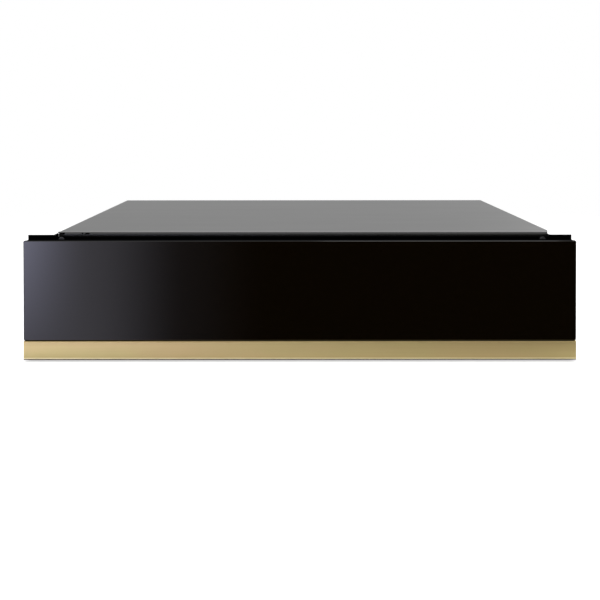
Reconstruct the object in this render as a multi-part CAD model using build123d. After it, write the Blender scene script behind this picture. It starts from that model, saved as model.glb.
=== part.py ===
from build123d import *
import os

# Vacuum sealing drawer for a 560 mm kitchen niche, in millimetres.
# X runs to the right, Y to the back and Z up. The origin is in the middle of the footprint, on the floor.
# A depth is measured back from the front face of the glass.

# Front panel
front_width = 595.0
glass_height = 107.4
glass_thickness = 5.0
glass_edge = 0.6
strip_height = 20.4
strip_gap = 0.8
strip_wall = 1.6
front_thickness = 20.0
front_sheet = 1.2

# Housing
wing_width = 22.5
housing_offset = 5.5
body_depth = 565.0
rear_space = 30.0
inlet_flange = 3.0
screw_hole = 1.6
screw_shank = 1.5
screw_head_radius = 3.2
screw_head = 1.6
low_head_radius = 3.0
low_head = 0.9
frame_head_radius = 3.2
frame_head = 0.7
foot_height = 2.0
sheet = 1.0
cover_rise = 5.4
cover_depth = 45.0
cover_skirt = 16.0
cover_lip = 4.0
corner_bevel = 6.0
corner_run = 24.5
bend = 1.5

# Front frame
push_gap = 4.0
frame_screw_insets = (6.5, 12.5)
frame_screw_drop = 3.4
frame_sheet = 1.5
frame_rise = 4.2
bar_drop = 2.1
bar_height = 7.7
sill_height = 4.0
collar_sheet = 1.0
niche_hole_radius = 2.25
niche_hole_inset = 8.5
niche_hole_low = 30.0
niche_hole_high = 100.0

# Runners, in three members with ball retainers between them
runner_thickness = 12.7
runner_height = 45.7
runner_clearance = 35.0
runner_depth = 30.0
runner_level = 45.0
runner_sheet = 1.2
member_gap = 0.8
ball_diameter = 3.2
ball_play = 0.05
retainer_sheet = 1.0
push_travel = 3.0

# Drawer
drawer_sheet = 1.2
drawer_floor = 8.0
deck_drop = 22.1
deck_sheet = 1.5

# Chamber, lid and sealing bar
chamber_side = 70.3
control_room = 111.0
machine_room = 138.0
chamber_floor = 20.0
chamber_wall = 1.5
chamber_corner = 42.0
chamber_draft = 2.5
chamber_foot = 14.0
rim_width = 19.0
seal_width = 8.0
seal_height = 3.0
lid_margin = 25.0
lid_thickness = 8.0
lid_corner = 26.0
lid_edge = 1.5
bar_side = 30.0
bar_width = 14.0
bar_height_sealing = 18.0
bar_lift = 6.0
bar_play = 0.5
band_thickness = 0.2
bar_setback = 30.0
counter_width = 12.0
counter_height = 6.0
holder_wall = 1.5
lift_inset = 50.0
lift_radius = 11.0
lift_bore = 8.0
lift_rod = 4.0
running_play = 0.05
nipple_hole = 4.0
port_hole = 6.0
port_play = 0.1
grille_radius = 19.0
grille_wall = 2.0
grille_height = 4.0
port_offset = 70.0
port_setback = 40.0
hose_radius = 4.0
air_line_radius = 2.5
line_seat = 0.15

# Lid hinges
hinge_inset = 40.0
hinge_plate = 2.0
knuckle_radius = 5.5
knuckle_play = 0.3
pin_radius = 2.5
pin_setback = 13.0
spring_wire = 1.0

# Vacuum pump and electrics
pump_margin = 26.8
pump_setback = 64.0
pump_clearance = 2.9
motor_wall = 4.0
fin_count = 20
fin_height = 4.0
head_length = 46.0
cap_length = 10.0
rotor_radius = 24.0
rotor_bore = 30.0
shaft_radius = 6.0
vane_count = 4
vane_width = 3.0
valve_gap = 10.0
valve_length = 78.0
core_gap = 21.0
core_width = 66.0
board_gap = 13.0
board_margin = 15.8
fan_size = 60.0
fan_thickness = 15.0
fan_hub = 13.0
fan_blades = 7

# Levels, widths and depths that follow
front_y = -(body_depth + inlet_flange) / 2
front_bottom = foot_height
strip_top = front_bottom + strip_height
glass_bottom = strip_top + strip_gap
front_top = glass_bottom + glass_height
cover_top = front_top + cover_rise
frame_top = front_top + frame_rise
bar_top = frame_top - bar_drop
frame_depth = front_thickness + push_gap
collar_depth = frame_depth + frame_sheet
housing_width = front_width - 2 * wing_width
shell_left = housing_offset - housing_width / 2 + sheet
shell_right = housing_offset + housing_width / 2 - sheet
wall_left = shell_left + sheet
wall_right = shell_right - sheet
shell_bottom = foot_height
shell_floor = foot_height + sheet
shell_top = cover_top - sheet
runner_length = body_depth - runner_depth - runner_clearance
drawer_left = wall_left + runner_thickness
drawer_right = wall_right - runner_thickness
drawer_middle = (drawer_left + drawer_right) / 2
drawer_width = drawer_right - drawer_left
drawer_depth = body_depth - rear_space
base_top = drawer_floor + drawer_sheet
deck_top = front_top - deck_drop
deck_bottom = deck_top - deck_sheet
rim_top = deck_top + chamber_wall
chamber_width = drawer_width - 2 * chamber_side
chamber_length = drawer_depth - control_room - machine_room
chamber_middle = control_room + chamber_length / 2
chamber_back = control_room + chamber_length
chamber_base = chamber_floor + chamber_wall
lid_bottom = rim_top + seal_height
lid_top = lid_bottom + lid_thickness
lid_width = chamber_width + 2 * lid_margin
lid_length = chamber_length + 2 * lid_margin
lid_back = chamber_middle + lid_length / 2
bar_length = chamber_width - 2 * bar_side
lift_spacing = bar_length - 2 * lift_inset
hinge_spacing = chamber_width - 2 * hinge_inset
pump_left = drawer_left + pump_margin
pump_depth = drawer_depth - pump_setback
pump_level = (base_top + deck_bottom) / 2
motor_radius = (deck_bottom - base_top) / 2 - fin_height - pump_clearance
machine_rest = pump_margin + head_length + cap_length + valve_gap + valve_length + core_gap + core_width
long_room = drawer_width - machine_rest - board_gap - board_margin
motor_length = long_room / 2 + 1.0
board_width = long_room / 2 - 1.0


def block(x0, x1, d0, d1, z0, z1):
    """A square block between two X, two depths and two levels."""
    centre = Pos((x0 + x1) / 2, front_y + (d0 + d1) / 2, (z0 + z1) / 2)
    return centre * Box(abs(x1 - x0), abs(d1 - d0), abs(z1 - z0))


def along_x(section, x0, x1):
    """A (depth, level) section carried from one X to another."""
    plane = Plane(origin=(x0, front_y, 0), x_dir=(0, 1, 0), z_dir=(1, 0, 0))
    return plane * extrude(section, x1 - x0)


def along_y(section, d0, d1):
    """An (X, level) section carried from one depth to another."""
    plane = Plane(origin=(0, front_y + d1, 0), x_dir=(1, 0, 0), z_dir=(0, -1, 0))
    return plane * extrude(section, d1 - d0)


def upright(section, z0, z1):
    """An (X, depth) section carried from one level to another."""
    return Pos(0, front_y, z0) * extrude(section, z1 - z0)


def folded(points, thickness, radius):
    """The section of a folded sheet, from the middle line of its thickness."""
    return trace(FilletPolyline(*points, radius=radius), thickness)


def rod(x, depth, z, direction, radius, length):
    """A round bar that starts at a point and runs in a direction."""
    plane = Plane(origin=(x, front_y + depth, z), z_dir=direction)
    return plane * Cylinder(radius, length, align=(Align.CENTER, Align.CENTER, Align.MIN))


def screw(x, depth, z, outward, head_radius, head_height, shank_radius, shank_length):
    """A pan-head screw whose head seats on a surface that faces outward."""
    plane = Plane(origin=(x, front_y + depth, z), z_dir=outward)
    head = Cylinder(head_radius, head_height, align=(Align.CENTER, Align.CENTER, Align.MIN))
    head = chamfer(head.edges().filter_by(GeomType.CIRCLE).sort_by(Axis.Z)[-1], head_height * 0.45)
    shank = Cylinder(shank_radius, shank_length, align=(Align.CENTER, Align.CENTER, Align.MAX))
    return plane * (head + shank)


def rounded(width, length, radius, x, depth):
    """A rounded rectangle in plan, centred on an X and a depth."""
    return Pos(x, depth) * RectangleRounded(width, length, radius)


def repeated(locations, shape):
    """One sketch that holds a shape at every location."""
    return Sketch() + [location * shape for location in locations]


def wall_x(side, inward):
    """The X of a point that lies inward of the left (-1) or right (+1) housing wall."""
    return wall_left + inward if side < 0 else wall_right - inward


def save(name, *shapes):
    """Write one piece, or a group of like pieces, as a file of its own."""
    solids = [solid for shape in shapes for solid in shape.solids()]
    export_step(Compound(solids), f"parts/{name}.step")


os.makedirs("parts", exist_ok=True)
sides = {"left": -1, "right": 1}

# Front glass: one pane with ground edges
glass_outline = Pos(0, (glass_bottom + front_top) / 2) * RectangleRounded(front_width, glass_height, 1.5)
front_glass = along_y(glass_outline, 0, glass_thickness)
front_face = front_glass.faces().sort_by(Axis.Y)[0]
front_glass = chamfer(front_face.edges(), glass_edge)
save("front_glass", front_glass)


# Front strip: a gold-coloured box profile with a rolled lower edge and closed ends
def strip_section(inset):
    """The strip's outline in (depth, level), drawn in by an inset."""
    height = strip_height - 2 * inset
    width = glass_thickness - inset
    middle = Pos(inset + width / 2, front_bottom + strip_height / 2)
    outline = middle * Rectangle(width, height)
    front_edges = outline.vertices().sort_by(Axis.X)[:2]
    return fillet(front_edges, 1.2 - 0.5 * min(inset, 1.0))


front_strip = along_x(strip_section(0), -front_width / 2, front_width / 2)
strip_end = front_width / 2 - strip_wall
front_strip -= along_x(strip_section(strip_wall), -strip_end, strip_end)
save("front_strip", front_strip)

# Front carrier: a folded pan behind the glass and the strip
carrier_half = front_width / 2 - 0.4
carrier_bottom = front_bottom + 0.4
carrier_top = front_top - 0.4
carrier_outer = block(-carrier_half, carrier_half, glass_thickness, front_thickness - front_sheet,
                      carrier_bottom, carrier_top)
carrier_outer = fillet(carrier_outer.edges().filter_by(Axis.Y), bend)
carrier_inner = block(-carrier_half + front_sheet, carrier_half - front_sheet,
                      glass_thickness + front_sheet, front_thickness,
                      carrier_bottom + front_sheet, carrier_top - front_sheet)
save("front_carrier", carrier_outer - carrier_inner)

# Inner panel: closes the pan, and the drawer's brackets are screwed to it
inner_panel = block(-carrier_half, carrier_half, front_thickness - front_sheet, front_thickness,
                    carrier_bottom, carrier_top)
inner_panel = fillet(inner_panel.edges().filter_by(Axis.Y), bend)

# Front frame: a black folded ring with wings that lie on the cabinet's sides, and a collar behind it that
# stands higher on the left
opening_left = wall_left - sheet / 2
opening_right = wall_right + sheet / 2
opening_bottom = shell_bottom + sill_height
opening_top = bar_top - bar_height
collar_left = shell_left - sheet
collar_right = shell_right + sheet
wing_half = front_width / 2
frame = block(-wing_half, wing_half, frame_depth, collar_depth, shell_bottom, frame_top)
frame -= block(opening_left, opening_right, frame_depth, collar_depth, opening_bottom, opening_top)
frame -= block(collar_left + collar_sheet, collar_right - corner_bevel - sheet, frame_depth, collar_depth,
               bar_top, frame_top)
collar_mid = collar_sheet / 2
collar_path = [(collar_left + collar_mid, frame_top), (collar_left + collar_mid, shell_bottom + collar_mid),
               (collar_right - collar_mid, shell_bottom + collar_mid), (collar_right - collar_mid, bar_top)]
frame += along_y(folded(collar_path, collar_sheet, bend), collar_depth, cover_depth)
wing_hole_xs = (-wing_half + niche_hole_inset, wing_half - niche_hole_inset)
for x in wing_hole_xs:
    for z in (niche_hole_low, niche_hole_high):
        frame -= rod(x, frame_depth - 1, z, (0, 1, 0), niche_hole_radius, frame_sheet + 2)
frame_screw_xs = (wall_left + frame_screw_insets[0], wall_right - frame_screw_insets[1])
frame_screw_level = bar_top - frame_screw_drop
for x in frame_screw_xs:
    frame -= rod(x, frame_depth - 1, frame_screw_level, (0, 1, 0), screw_hole, frame_sheet + 2)
tab_height = 14.0
tab_reach = 18.0
tab_setback = 10.0
tab_levels = (shell_floor + 12.0, shell_top - 20.0)
tab_screw_depth = cover_depth + tab_setback
for side in (-1, 1):
    for z in tab_levels:
        face = collar_left + collar_sheet if side < 0 else collar_right - collar_sheet
        foot = wall_left if side < 0 else wall_right
        tab = block(face, foot - side * sheet, cover_depth - tab_setback, cover_depth - 2 * sheet,
                    z - tab_height / 2, z + tab_height / 2)
        tab += block(foot, foot - side * sheet, cover_depth - tab_setback, cover_depth + tab_reach,
                     z - tab_height / 2, z + tab_height / 2)
        tab -= rod(foot + 3 * side, tab_screw_depth, z, (-side, 0, 0), screw_hole, 8.0)
        frame += tab
save("front_frame", frame)

# Cross-member: the dark folded bar between the frame and the cover
cross_sheet = 1.2
cross_mid = cross_sheet / 2
cross_drop = 1.6
cross_fall = 0.4
cross_reach = 34.0
cross_step = 14.0
cross_play = 0.3
cross_top = bar_top - cross_drop
cross_path = [(collar_depth + cross_mid, opening_top + cross_mid), (collar_depth + cross_mid, cross_top),
              (cover_depth + cross_step, cross_top - cross_fall),
              (cover_depth + cross_step + 3.0, shell_top - cross_mid),
              (cover_depth + cross_reach, shell_top - cross_mid)]
cross_member = along_x(folded(cross_path, cross_sheet, cross_sheet), wall_left + cross_play,
                       wall_right - cross_play)
for x in frame_screw_xs:
    cross_member -= rod(x, frame_depth, frame_screw_level, (0, 1, 0), screw_hole, 6.0)
save("front_crossmember", cross_member)
housing_screws = [screw(x, frame_depth, frame_screw_level, (0, -1, 0), frame_head_radius, frame_head,
                        screw_shank, 6.0)
                  for x in frame_screw_xs]

# Housing shell: floor and sides of one folded sheet, with flanges that carry the cover
half = sheet / 2
shell_flange = 9.0
shell_path = [(wall_left + shell_flange, shell_top - half), (shell_left + half, shell_top - half),
              (shell_left + half, shell_bottom + half), (shell_right - half, shell_bottom + half),
              (shell_right - half, shell_top - half), (wall_right - shell_flange, shell_top - half)]
shell = along_y(folded(shell_path, sheet, bend), cover_depth, body_depth - sheet)
lip_play = 0.3
shell -= block(shell_left, shell_right, cover_depth, cover_depth + cross_reach + 2.0,
               shell_top - sheet - bend, shell_top)
shell -= block(shell_left, shell_right, cover_depth, cover_depth + sheet + lip_play,
               cover_top - cover_lip - lip_play, shell_top)
rear_flange = 12.0
rear_screw_depth = body_depth - sheet - rear_flange / 2
rear_screw_levels = (30.0, 100.0)
end_inset = 40.0
rivet_radius = 2.0
rivet_hole = 2.05
rivet_pitch = (runner_length - 2 * end_inset) / 3
rivet_depths = [runner_depth + end_inset + rivet_pitch * n for n in range(4)]
cover_screw_pitch = (body_depth - cover_depth - 2 * end_inset) / 2
cover_screw_depths = [cover_depth + end_inset + cover_screw_pitch * n for n in range(3)]
cover_screw_level = cover_top - cover_skirt / 2 - 2.0
side_slots = 9
slot_pitch = 14.0
slot_width = 5.0
slot_low = 84.0
slot_high = 112.0
slots_setback = 165.0
slots_start = body_depth - slots_setback
for side in (-1, 1):
    outer = wall_x(side, -3.0)
    inward = (-side, 0, 0)
    for depth in rivet_depths:
        shell -= rod(outer, depth, runner_level, inward, rivet_hole, 6.0)
    for depth in cover_screw_depths:
        shell -= rod(outer, depth, cover_screw_level, inward, screw_hole, 6.0)
    for z in tab_levels:
        shell -= rod(outer, tab_screw_depth, z, inward, screw_hole, 6.0)
    for z in rear_screw_levels:
        shell -= rod(outer, rear_screw_depth, z, inward, screw_hole, 6.0)
    for n in range(side_slots):
        slot_depth = slots_start + slot_pitch * n
        shell -= block(outer, wall_x(side, 3.0), slot_depth, slot_depth + slot_width, slot_low, slot_high)
save("housing_shell", shell)

# Top cover: brushed sheet with a folded front lip, side skirts, a relief slit at the left corner with two
# notches beside it, and a bevelled right corner
skirt_path = [(collar_left + half, cover_top - cover_skirt), (collar_left + half, cover_top - half),
              (collar_right - half, cover_top - half), (collar_right - half, cover_top - cover_skirt)]
lip_reach = 6.0
lip_path = [(cover_depth + half, cover_top - cover_lip), (cover_depth + half, cover_top - half),
            (cover_depth + lip_reach, cover_top - half)]
cover = along_y(folded(skirt_path, sheet, bend), cover_depth + lip_reach, body_depth)
cover += along_x(folded(lip_path, sheet, 2.0), collar_left, collar_right)
notch_insets = (3.0, 26.5, 32.1)
notch_widths = (8.0, 2.0, 5.0)
notch_depth = 3.0
notch_low = cover_top - 2.6
notch_high = cover_top - 0.9
for inset, width in zip(notch_insets, notch_widths):
    x = shell_left + inset
    cover -= block(x - width / 2, x + width / 2, cover_depth, cover_depth + notch_depth, notch_low, notch_high)
corner = Polygon((collar_right - corner_bevel, cover_depth), (collar_right + 1.0, cover_depth - 1.0),
                 (collar_right, cover_depth + corner_run), align=None)
cover -= upright(corner, cover_top - cover_skirt, cover_top)
for side in (-1, 1):
    for depth in cover_screw_depths:
        cover -= rod(wall_x(side, -6.0), depth, cover_screw_level, (-side, 0, 0), screw_hole, 6.0)
save("top_cover", cover)
for side in (-1, 1):
    outward = (side, 0, 0)
    for depth in cover_screw_depths:
        housing_screws.append(screw(wall_x(side, -2 * sheet), depth, cover_screw_level, outward,
                                    screw_head_radius, screw_head, screw_shank, 5.0))
    for z in tab_levels:
        housing_screws.append(screw(wall_x(side, -sheet), tab_screw_depth, z, outward,
                                    low_head_radius, low_head, screw_shank, 4.0))
    for z in rear_screw_levels:
        housing_screws.append(screw(wall_x(side, -sheet), rear_screw_depth, z, outward,
                                    low_head_radius, low_head, screw_shank, 4.0))

# Rear panel: a flanged sheet with two rows of vent slots and the cut-out for the mains inlet
inlet_inset = 74.5
inlet_x = shell_right - inlet_inset
inlet_level = 32.0
inlet_half_width = 13.6
inlet_half_height = 9.8
inlet_play = 0.4
inlet_screw_spacing = 40.0
vent_slot = 26.0
vent_width = 5.0
vent_columns = 20
vent_pitch = 16.0
vent_rise = 34.0
vents_level = 78.0
vents_offset = 40.0
panel_front = body_depth - sheet
rear_panel = block(shell_left, shell_right, panel_front, body_depth, shell_bottom, shell_top)
rear_panel = fillet(rear_panel.edges().filter_by(Axis.Y).group_by(Axis.Z)[-1], bend + sheet / 2)
for side in (-1, 1):
    rear_panel += block(wall_x(side, 0), wall_x(side, sheet), panel_front - rear_flange, panel_front,
                        shell_floor + 2.0, shell_top - 4.0)
    for z in rear_screw_levels:
        rear_panel -= rod(wall_x(side, -1.0), rear_screw_depth, z, (-side, 0, 0), screw_hole, 4.0)
vent = repeated(Pos(housing_offset - vents_offset, vents_level)
                * GridLocations(vent_pitch, vent_rise, vent_columns, 2),
                SlotOverall(vent_slot, vent_width, 90))
rear_panel -= along_y(vent, panel_front, body_depth)
inlet_cut_width = inlet_half_width + inlet_play
inlet_cut_height = inlet_half_height + inlet_play
rear_panel -= block(inlet_x - inlet_cut_width, inlet_x + inlet_cut_width, panel_front, body_depth,
                    inlet_level - inlet_cut_height, inlet_level + inlet_cut_height)
inlet_screw_xs = (inlet_x - inlet_screw_spacing / 2, inlet_x + inlet_screw_spacing / 2)
inlet_screw_seat = inlet_flange - screw_head
for x in inlet_screw_xs:
    rear_panel -= rod(x, panel_front - 1, inlet_level, (0, 1, 0), screw_hole, sheet + 2)
    housing_screws.append(screw(x, body_depth + inlet_screw_seat, inlet_level, (0, 1, 0),
                                low_head_radius - 0.2, screw_head - 0.2, screw_shank, 6.0))
save("rear_panel", rear_panel)

# Mains inlet: a moulded socket with three blades in a recess
socket_depth = 18.0
recess_depth = 13.0
blade_half_width = 1.0
blade_half_height = 2.0
blade_recess = 3.5
inlet_body = block(inlet_x - inlet_half_width, inlet_x + inlet_half_width, body_depth - socket_depth,
                   body_depth, inlet_level - inlet_half_height, inlet_level + inlet_half_height)
flange_outline = Pos(inlet_x, inlet_level) * RectangleRounded(inlet_screw_spacing + 10.0, 24.0, 6.0)
inlet = inlet_body + along_y(flange_outline, body_depth, body_depth + inlet_flange)
recess = Pos(inlet_x, inlet_level) * Rectangle(2 * inlet_half_width - 3.2, 2 * inlet_half_height - 3.6)
recess = chamfer(recess.vertices().sort_by(Axis.Y)[-2:], 4.0)
inlet -= along_y(recess, body_depth - recess_depth, body_depth + inlet_flange)
for dx, dz in ((-7.0, -2.0), (0.0, 2.0), (7.0, -2.0)):
    inlet += block(inlet_x + dx - blade_half_width, inlet_x + dx + blade_half_width,
                   body_depth - recess_depth, body_depth - blade_recess,
                   inlet_level + dz - blade_half_height, inlet_level + dz + blade_half_height)
for x in inlet_screw_xs:
    inlet -= rod(x, body_depth - 1, inlet_level, (0, 1, 0), screw_hole, inlet_flange + 2)
    inlet -= rod(x, body_depth + inlet_screw_seat, inlet_level, (0, 1, 0), low_head_radius, inlet_flange)
save("mains_inlet", inlet)

# Foot pads: rubber discs under the floor
foot_radius = 12.0
foot_inset = 30.0
foot_xs = (shell_left + foot_inset, shell_right - foot_inset)
foot_depths = (cover_depth + 25.0, body_depth - 35.0)
save("foot_pads", *[rod(x, depth, 0, (0, 0, 1), foot_radius, foot_height)
                    for x in foot_xs for depth in foot_depths])

# Push-to-open latch: a moulded body under a saddle on the rear panel, and its plunger
latch_x = drawer_middle
latch_level = deck_top + 9.5
latch_half_width = 14.0
latch_half_height = 9.0
plunger_reach = 4.0
plunger_length = 17.0
plunger_radius = 4.0
plunger_tip = drawer_depth + push_travel + 2.0
latch_body = block(latch_x - latch_half_width, latch_x + latch_half_width, plunger_tip + plunger_reach,
                   panel_front, latch_level - latch_half_height, latch_level + latch_half_height)
latch_body = fillet(latch_body.edges().filter_by(Axis.Y), 3.0)
latch_body -= rod(latch_x, plunger_tip, latch_level, (0, 1, 0), plunger_radius + running_play,
                  plunger_length + 1.0)
plunger = rod(latch_x, plunger_tip, latch_level, (0, 1, 0), plunger_radius, plunger_length)
plunger = fillet(plunger.edges().sort_by(Axis.Y)[0], 1.5)
save("push_latch_body", latch_body)
save("push_latch_plunger", plunger)

# Stop buffers: rubber cones that end the push-in travel
buffer_play = 0.5
buffer_tip = drawer_depth + push_travel + buffer_play
buffer_foot = 9.0
buffer_nose = 6.0
buffer_level = 60.0
buffer_insets = (40.0, 90.0)
buffers = []
for x in (drawer_left + buffer_insets[0], drawer_right - buffer_insets[1]):
    plane = Plane(origin=(x, front_y + panel_front, buffer_level), z_dir=(0, -1, 0))
    buffers.append(plane * Cone(buffer_foot, buffer_nose, panel_front - buffer_tip,
                                align=(Align.CENTER, Align.CENTER, Align.MIN)))
save("stop_buffers", *buffers)


# Runners: three nested folded members a side, with strips of balls between their flanges
race_outer = runner_height / 2 - runner_sheet
race_middle = race_outer - ball_diameter - ball_play
race_middle_inside = race_middle - runner_sheet
race_inner = race_middle_inside - ball_diameter - ball_play
middle_web = runner_sheet + member_gap
middle_reach = runner_thickness - runner_sheet - member_gap - 0.2
inner_reach = middle_web + runner_sheet + member_gap
outer_reach = runner_thickness - 0.7
lip = 2.4


def channel(side, web, reach, half_height, lip_length, d0, d1):
    """A folded C channel on its side: web, flanges that reach away from it, and short lips."""
    mid = runner_sheet / 2
    away = 1 if reach > web else -1
    x_web = wall_x(side, web + away * mid)
    x_end = wall_x(side, reach - away * mid)
    points = []
    for sign in (-1, 1):
        z_flange = runner_level + sign * (half_height - mid)
        arm = [(x_end, z_flange - sign * lip_length), (x_end, z_flange), (x_web, z_flange)]
        points += arm if sign < 0 else arm[::-1]
    if lip_length == 0:
        points = points[1:-1]
    return along_y(folded(points, runner_sheet, 1.0), d0, d1)


def retainer(side, face_low, reach_from, reach_to, d0, d1, count):
    """Two flat strips with a row of balls in each, above and below."""
    ball_level = face_low + (ball_diameter + ball_play) / 2
    strips = []
    middle = (reach_from + reach_to) / 2
    pitch = (d1 - d0) / count
    for sign in (-1, 1):
        level = runner_level + sign * ball_level
        strip = block(wall_x(side, reach_from), wall_x(side, reach_to), d0, d1,
                      level - retainer_sheet / 2, level + retainer_sheet / 2)
        for n in range(count):
            centre = Pos(wall_x(side, middle), front_y + d0 + pitch * (n + 0.5), level)
            strip = strip - centre * Cylinder(ball_diameter / 2 + running_play, 3.0)
            strips.append(centre * Sphere(ball_diameter / 2))
        strips.append(strip)
    return strips


runner_end = runner_depth + runner_length
outer_ball_count = 8
inner_ball_count = 7
outer_balls_from = runner_depth + 0.24 * runner_length
outer_balls_to = runner_depth + 0.74 * runner_length
inner_balls_from = runner_depth + 0.34 * runner_length
inner_balls_to = runner_depth + 0.76 * runner_length
outer_retainers = []
inner_retainers = []
for name, side in sides.items():
    outer = channel(side, 0, outer_reach, runner_height / 2, lip, runner_depth, runner_end)
    for depth in rivet_depths:
        outer -= rod(wall_x(side, -3.0), depth, runner_level, (-side, 0, 0), rivet_hole, 6.0)
    middle = channel(side, middle_web, middle_reach, race_middle, lip, runner_depth, runner_end - 10.0)
    inner = channel(side, runner_thickness, inner_reach, race_inner, 0, runner_depth - 4.0, runner_end - 6.0)
    save(f"runner_outer_{name}", outer)
    save(f"runner_middle_{name}", middle)
    save(f"runner_inner_{name}", inner)
    outer_retainers += retainer(side, race_middle, 3.0, outer_reach - 2.6, outer_balls_from,
                                outer_balls_to, outer_ball_count)
    inner_retainers += retainer(side, race_inner, 4.6, middle_reach - 2.4, inner_balls_from,
                                inner_balls_to, inner_ball_count)
save("ball_retainers_outer", *outer_retainers)
save("ball_retainers_inner", *inner_retainers)
rivets = []
for side in (-1, 1):
    for depth in rivet_depths:
        head = rod(wall_x(side, -sheet - low_head), depth, runner_level, (-side, 0, 0), 3.5, low_head)
        shank = rod(wall_x(side, -sheet), depth, runner_level, (-side, 0, 0), rivet_radius,
                    sheet + runner_sheet)
        rivets.append(head + shank)
save("housing_fasteners", *housing_screws, *rivets)

# Drawer base: floor and sides of one folded sheet
mid = drawer_sheet / 2
base_flange = 12.0
bead_width = 16.0
bead_inset = 60.0
bead_front = 70.0
bead_rear = 185.0
bead_length = drawer_depth - bead_front - bead_rear
base_path = [(drawer_left + base_flange, deck_bottom - mid), (drawer_left + mid, deck_bottom - mid),
             (drawer_left + mid, drawer_floor + mid), (drawer_right - mid, drawer_floor + mid),
             (drawer_right - mid, deck_bottom - mid), (drawer_right - base_flange, deck_bottom - mid)]
base = along_y(folded(base_path, drawer_sheet, bend), front_thickness, drawer_depth - drawer_sheet)
for x in (drawer_left + bead_inset, drawer_middle, drawer_right - bead_inset):
    bead = Pos(x, bead_front + bead_length / 2) * SlotOverall(bead_length, bead_width, 90)
    base -= upright(bead, drawer_floor, drawer_floor + 0.5)
cradle_left = pump_left + 20.0
cradle_length = 14.0
cradle_half = 30.0
cradle_play = 0.2
cradle = block(cradle_left, cradle_left + cradle_length, pump_depth - cradle_half, pump_depth + cradle_half,
               base_top, pump_level - 20.0)
cradle -= rod(cradle_left - 1.0, pump_depth, pump_level, (1, 0, 0), motor_radius + fin_height + cradle_play,
              cradle_length + 2.0)
save("drawer_base", base + cradle)

# Drawer rear wall, with the fan's grille and the hose and cable openings
rear_wall = block(drawer_left, drawer_right, drawer_depth - drawer_sheet, drawer_depth, drawer_floor,
                  deck_bottom)
rear_wall += block(drawer_left + 20.0, drawer_right - 20.0, drawer_depth - 14.0, drawer_depth - drawer_sheet,
                   deck_bottom - drawer_sheet, deck_bottom)
board_right = drawer_right - board_margin
board_left = board_right - board_width
fan_inset = 42.0
fan_x = board_left + fan_inset
fan_level = pump_level
grille = repeated(Pos(fan_x, fan_level) * PolarLocations(19.0, 12), SlotOverall(14.0, 4.0))
rear_wall -= along_y(grille, drawer_depth - drawer_sheet, drawer_depth)
vent_hole = 3.5
vents_inset = 140.3
vent_grid = 14.0
vent_holes = repeated(Pos(drawer_left + vents_inset, pump_level) * GridLocations(vent_grid, vent_grid, 10, 3),
                      Circle(vent_hole))
rear_wall -= along_y(vent_holes, drawer_depth - drawer_sheet, drawer_depth)
striker_half = 12.0
striker_low = latch_level - 26.0
striker_high = latch_level + 6.0
striker = block(latch_x - striker_half, latch_x + striker_half, drawer_depth, drawer_depth + drawer_sheet,
                striker_low, striker_high)
striker = fillet(striker.edges().filter_by(Axis.Y), 2.5)
save("drawer_rear_wall", rear_wall + striker)

# Front brackets: steel angles between the base's sides and the inner panel
bracket_sheet = 2.0
bracket_low = drawer_floor + 14.0
bracket_high = deck_bottom - 10.0
bracket_leg = 26.0
bracket_length = 46.0
bracket_hole = 2.05
bracket_points = []
brackets = []
inner_left = drawer_left + drawer_sheet
inner_right = drawer_right - drawer_sheet
for side, face in ((-1, inner_left), (1, inner_right)):
    web = bracket_sheet / 2
    angle_path = [(face - side * bracket_leg, front_thickness + web),
                  (face - side * web, front_thickness + web),
                  (face - side * web, front_thickness + bracket_length)]
    brackets.append(upright(folded(angle_path, bracket_sheet, 2.5), bracket_low, bracket_high))
    bracket_points += [(face - side * 16.0, z) for z in (bracket_low + 12.0, bracket_high - 12.0)]
bracket_screws = []
for x, z in bracket_points:
    inner_panel -= rod(x, front_thickness - 3.0, z, (0, 1, 0), bracket_hole, 6.0)
    brackets = [piece - rod(x, front_thickness - 1.0, z, (0, 1, 0), bracket_hole, 6.0) for piece in brackets]
    bracket_screws.append(screw(x, front_thickness + bracket_sheet, z, (0, 1, 0), 3.6, 2.2,
                                bracket_hole - running_play, 5.0))
save("front_inner_panel", inner_panel)
save("front_brackets", *brackets)
save("bracket_screws", *bracket_screws)

# Deck plate: brushed sheet around the chamber, with the window of the controls and vent slots over the pump
control_middle = 48.0
control_width = hinge_spacing
control_length = 34.0
deck_front = front_thickness + 4.0
chamber_play = 1.0
deck = upright(rounded(drawer_width, drawer_depth - deck_front, 4.0, drawer_middle,
                       (drawer_depth + deck_front) / 2), deck_bottom, deck_top)
deck -= upright(rounded(chamber_width + 2 * chamber_play, chamber_length + 2 * chamber_play,
                        chamber_corner + chamber_play, drawer_middle, chamber_middle), deck_bottom, deck_top)
deck -= upright(rounded(control_width - 20.0, control_length - 12.0, 3.0, drawer_middle, control_middle),
                deck_bottom, deck_top)
deck_slot = 46.0
deck_slot_pitch = 18.0
deck_slots = 18
deck_slot_setback = 45.0
deck_vents = repeated(Pos(drawer_middle, drawer_depth - deck_slot_setback)
                      * GridLocations(deck_slot_pitch, 1.0, deck_slots, 1),
                      SlotOverall(deck_slot, vent_width, 90))
deck -= upright(deck_vents, deck_bottom, deck_top)
save("deck_plate", deck)

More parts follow.
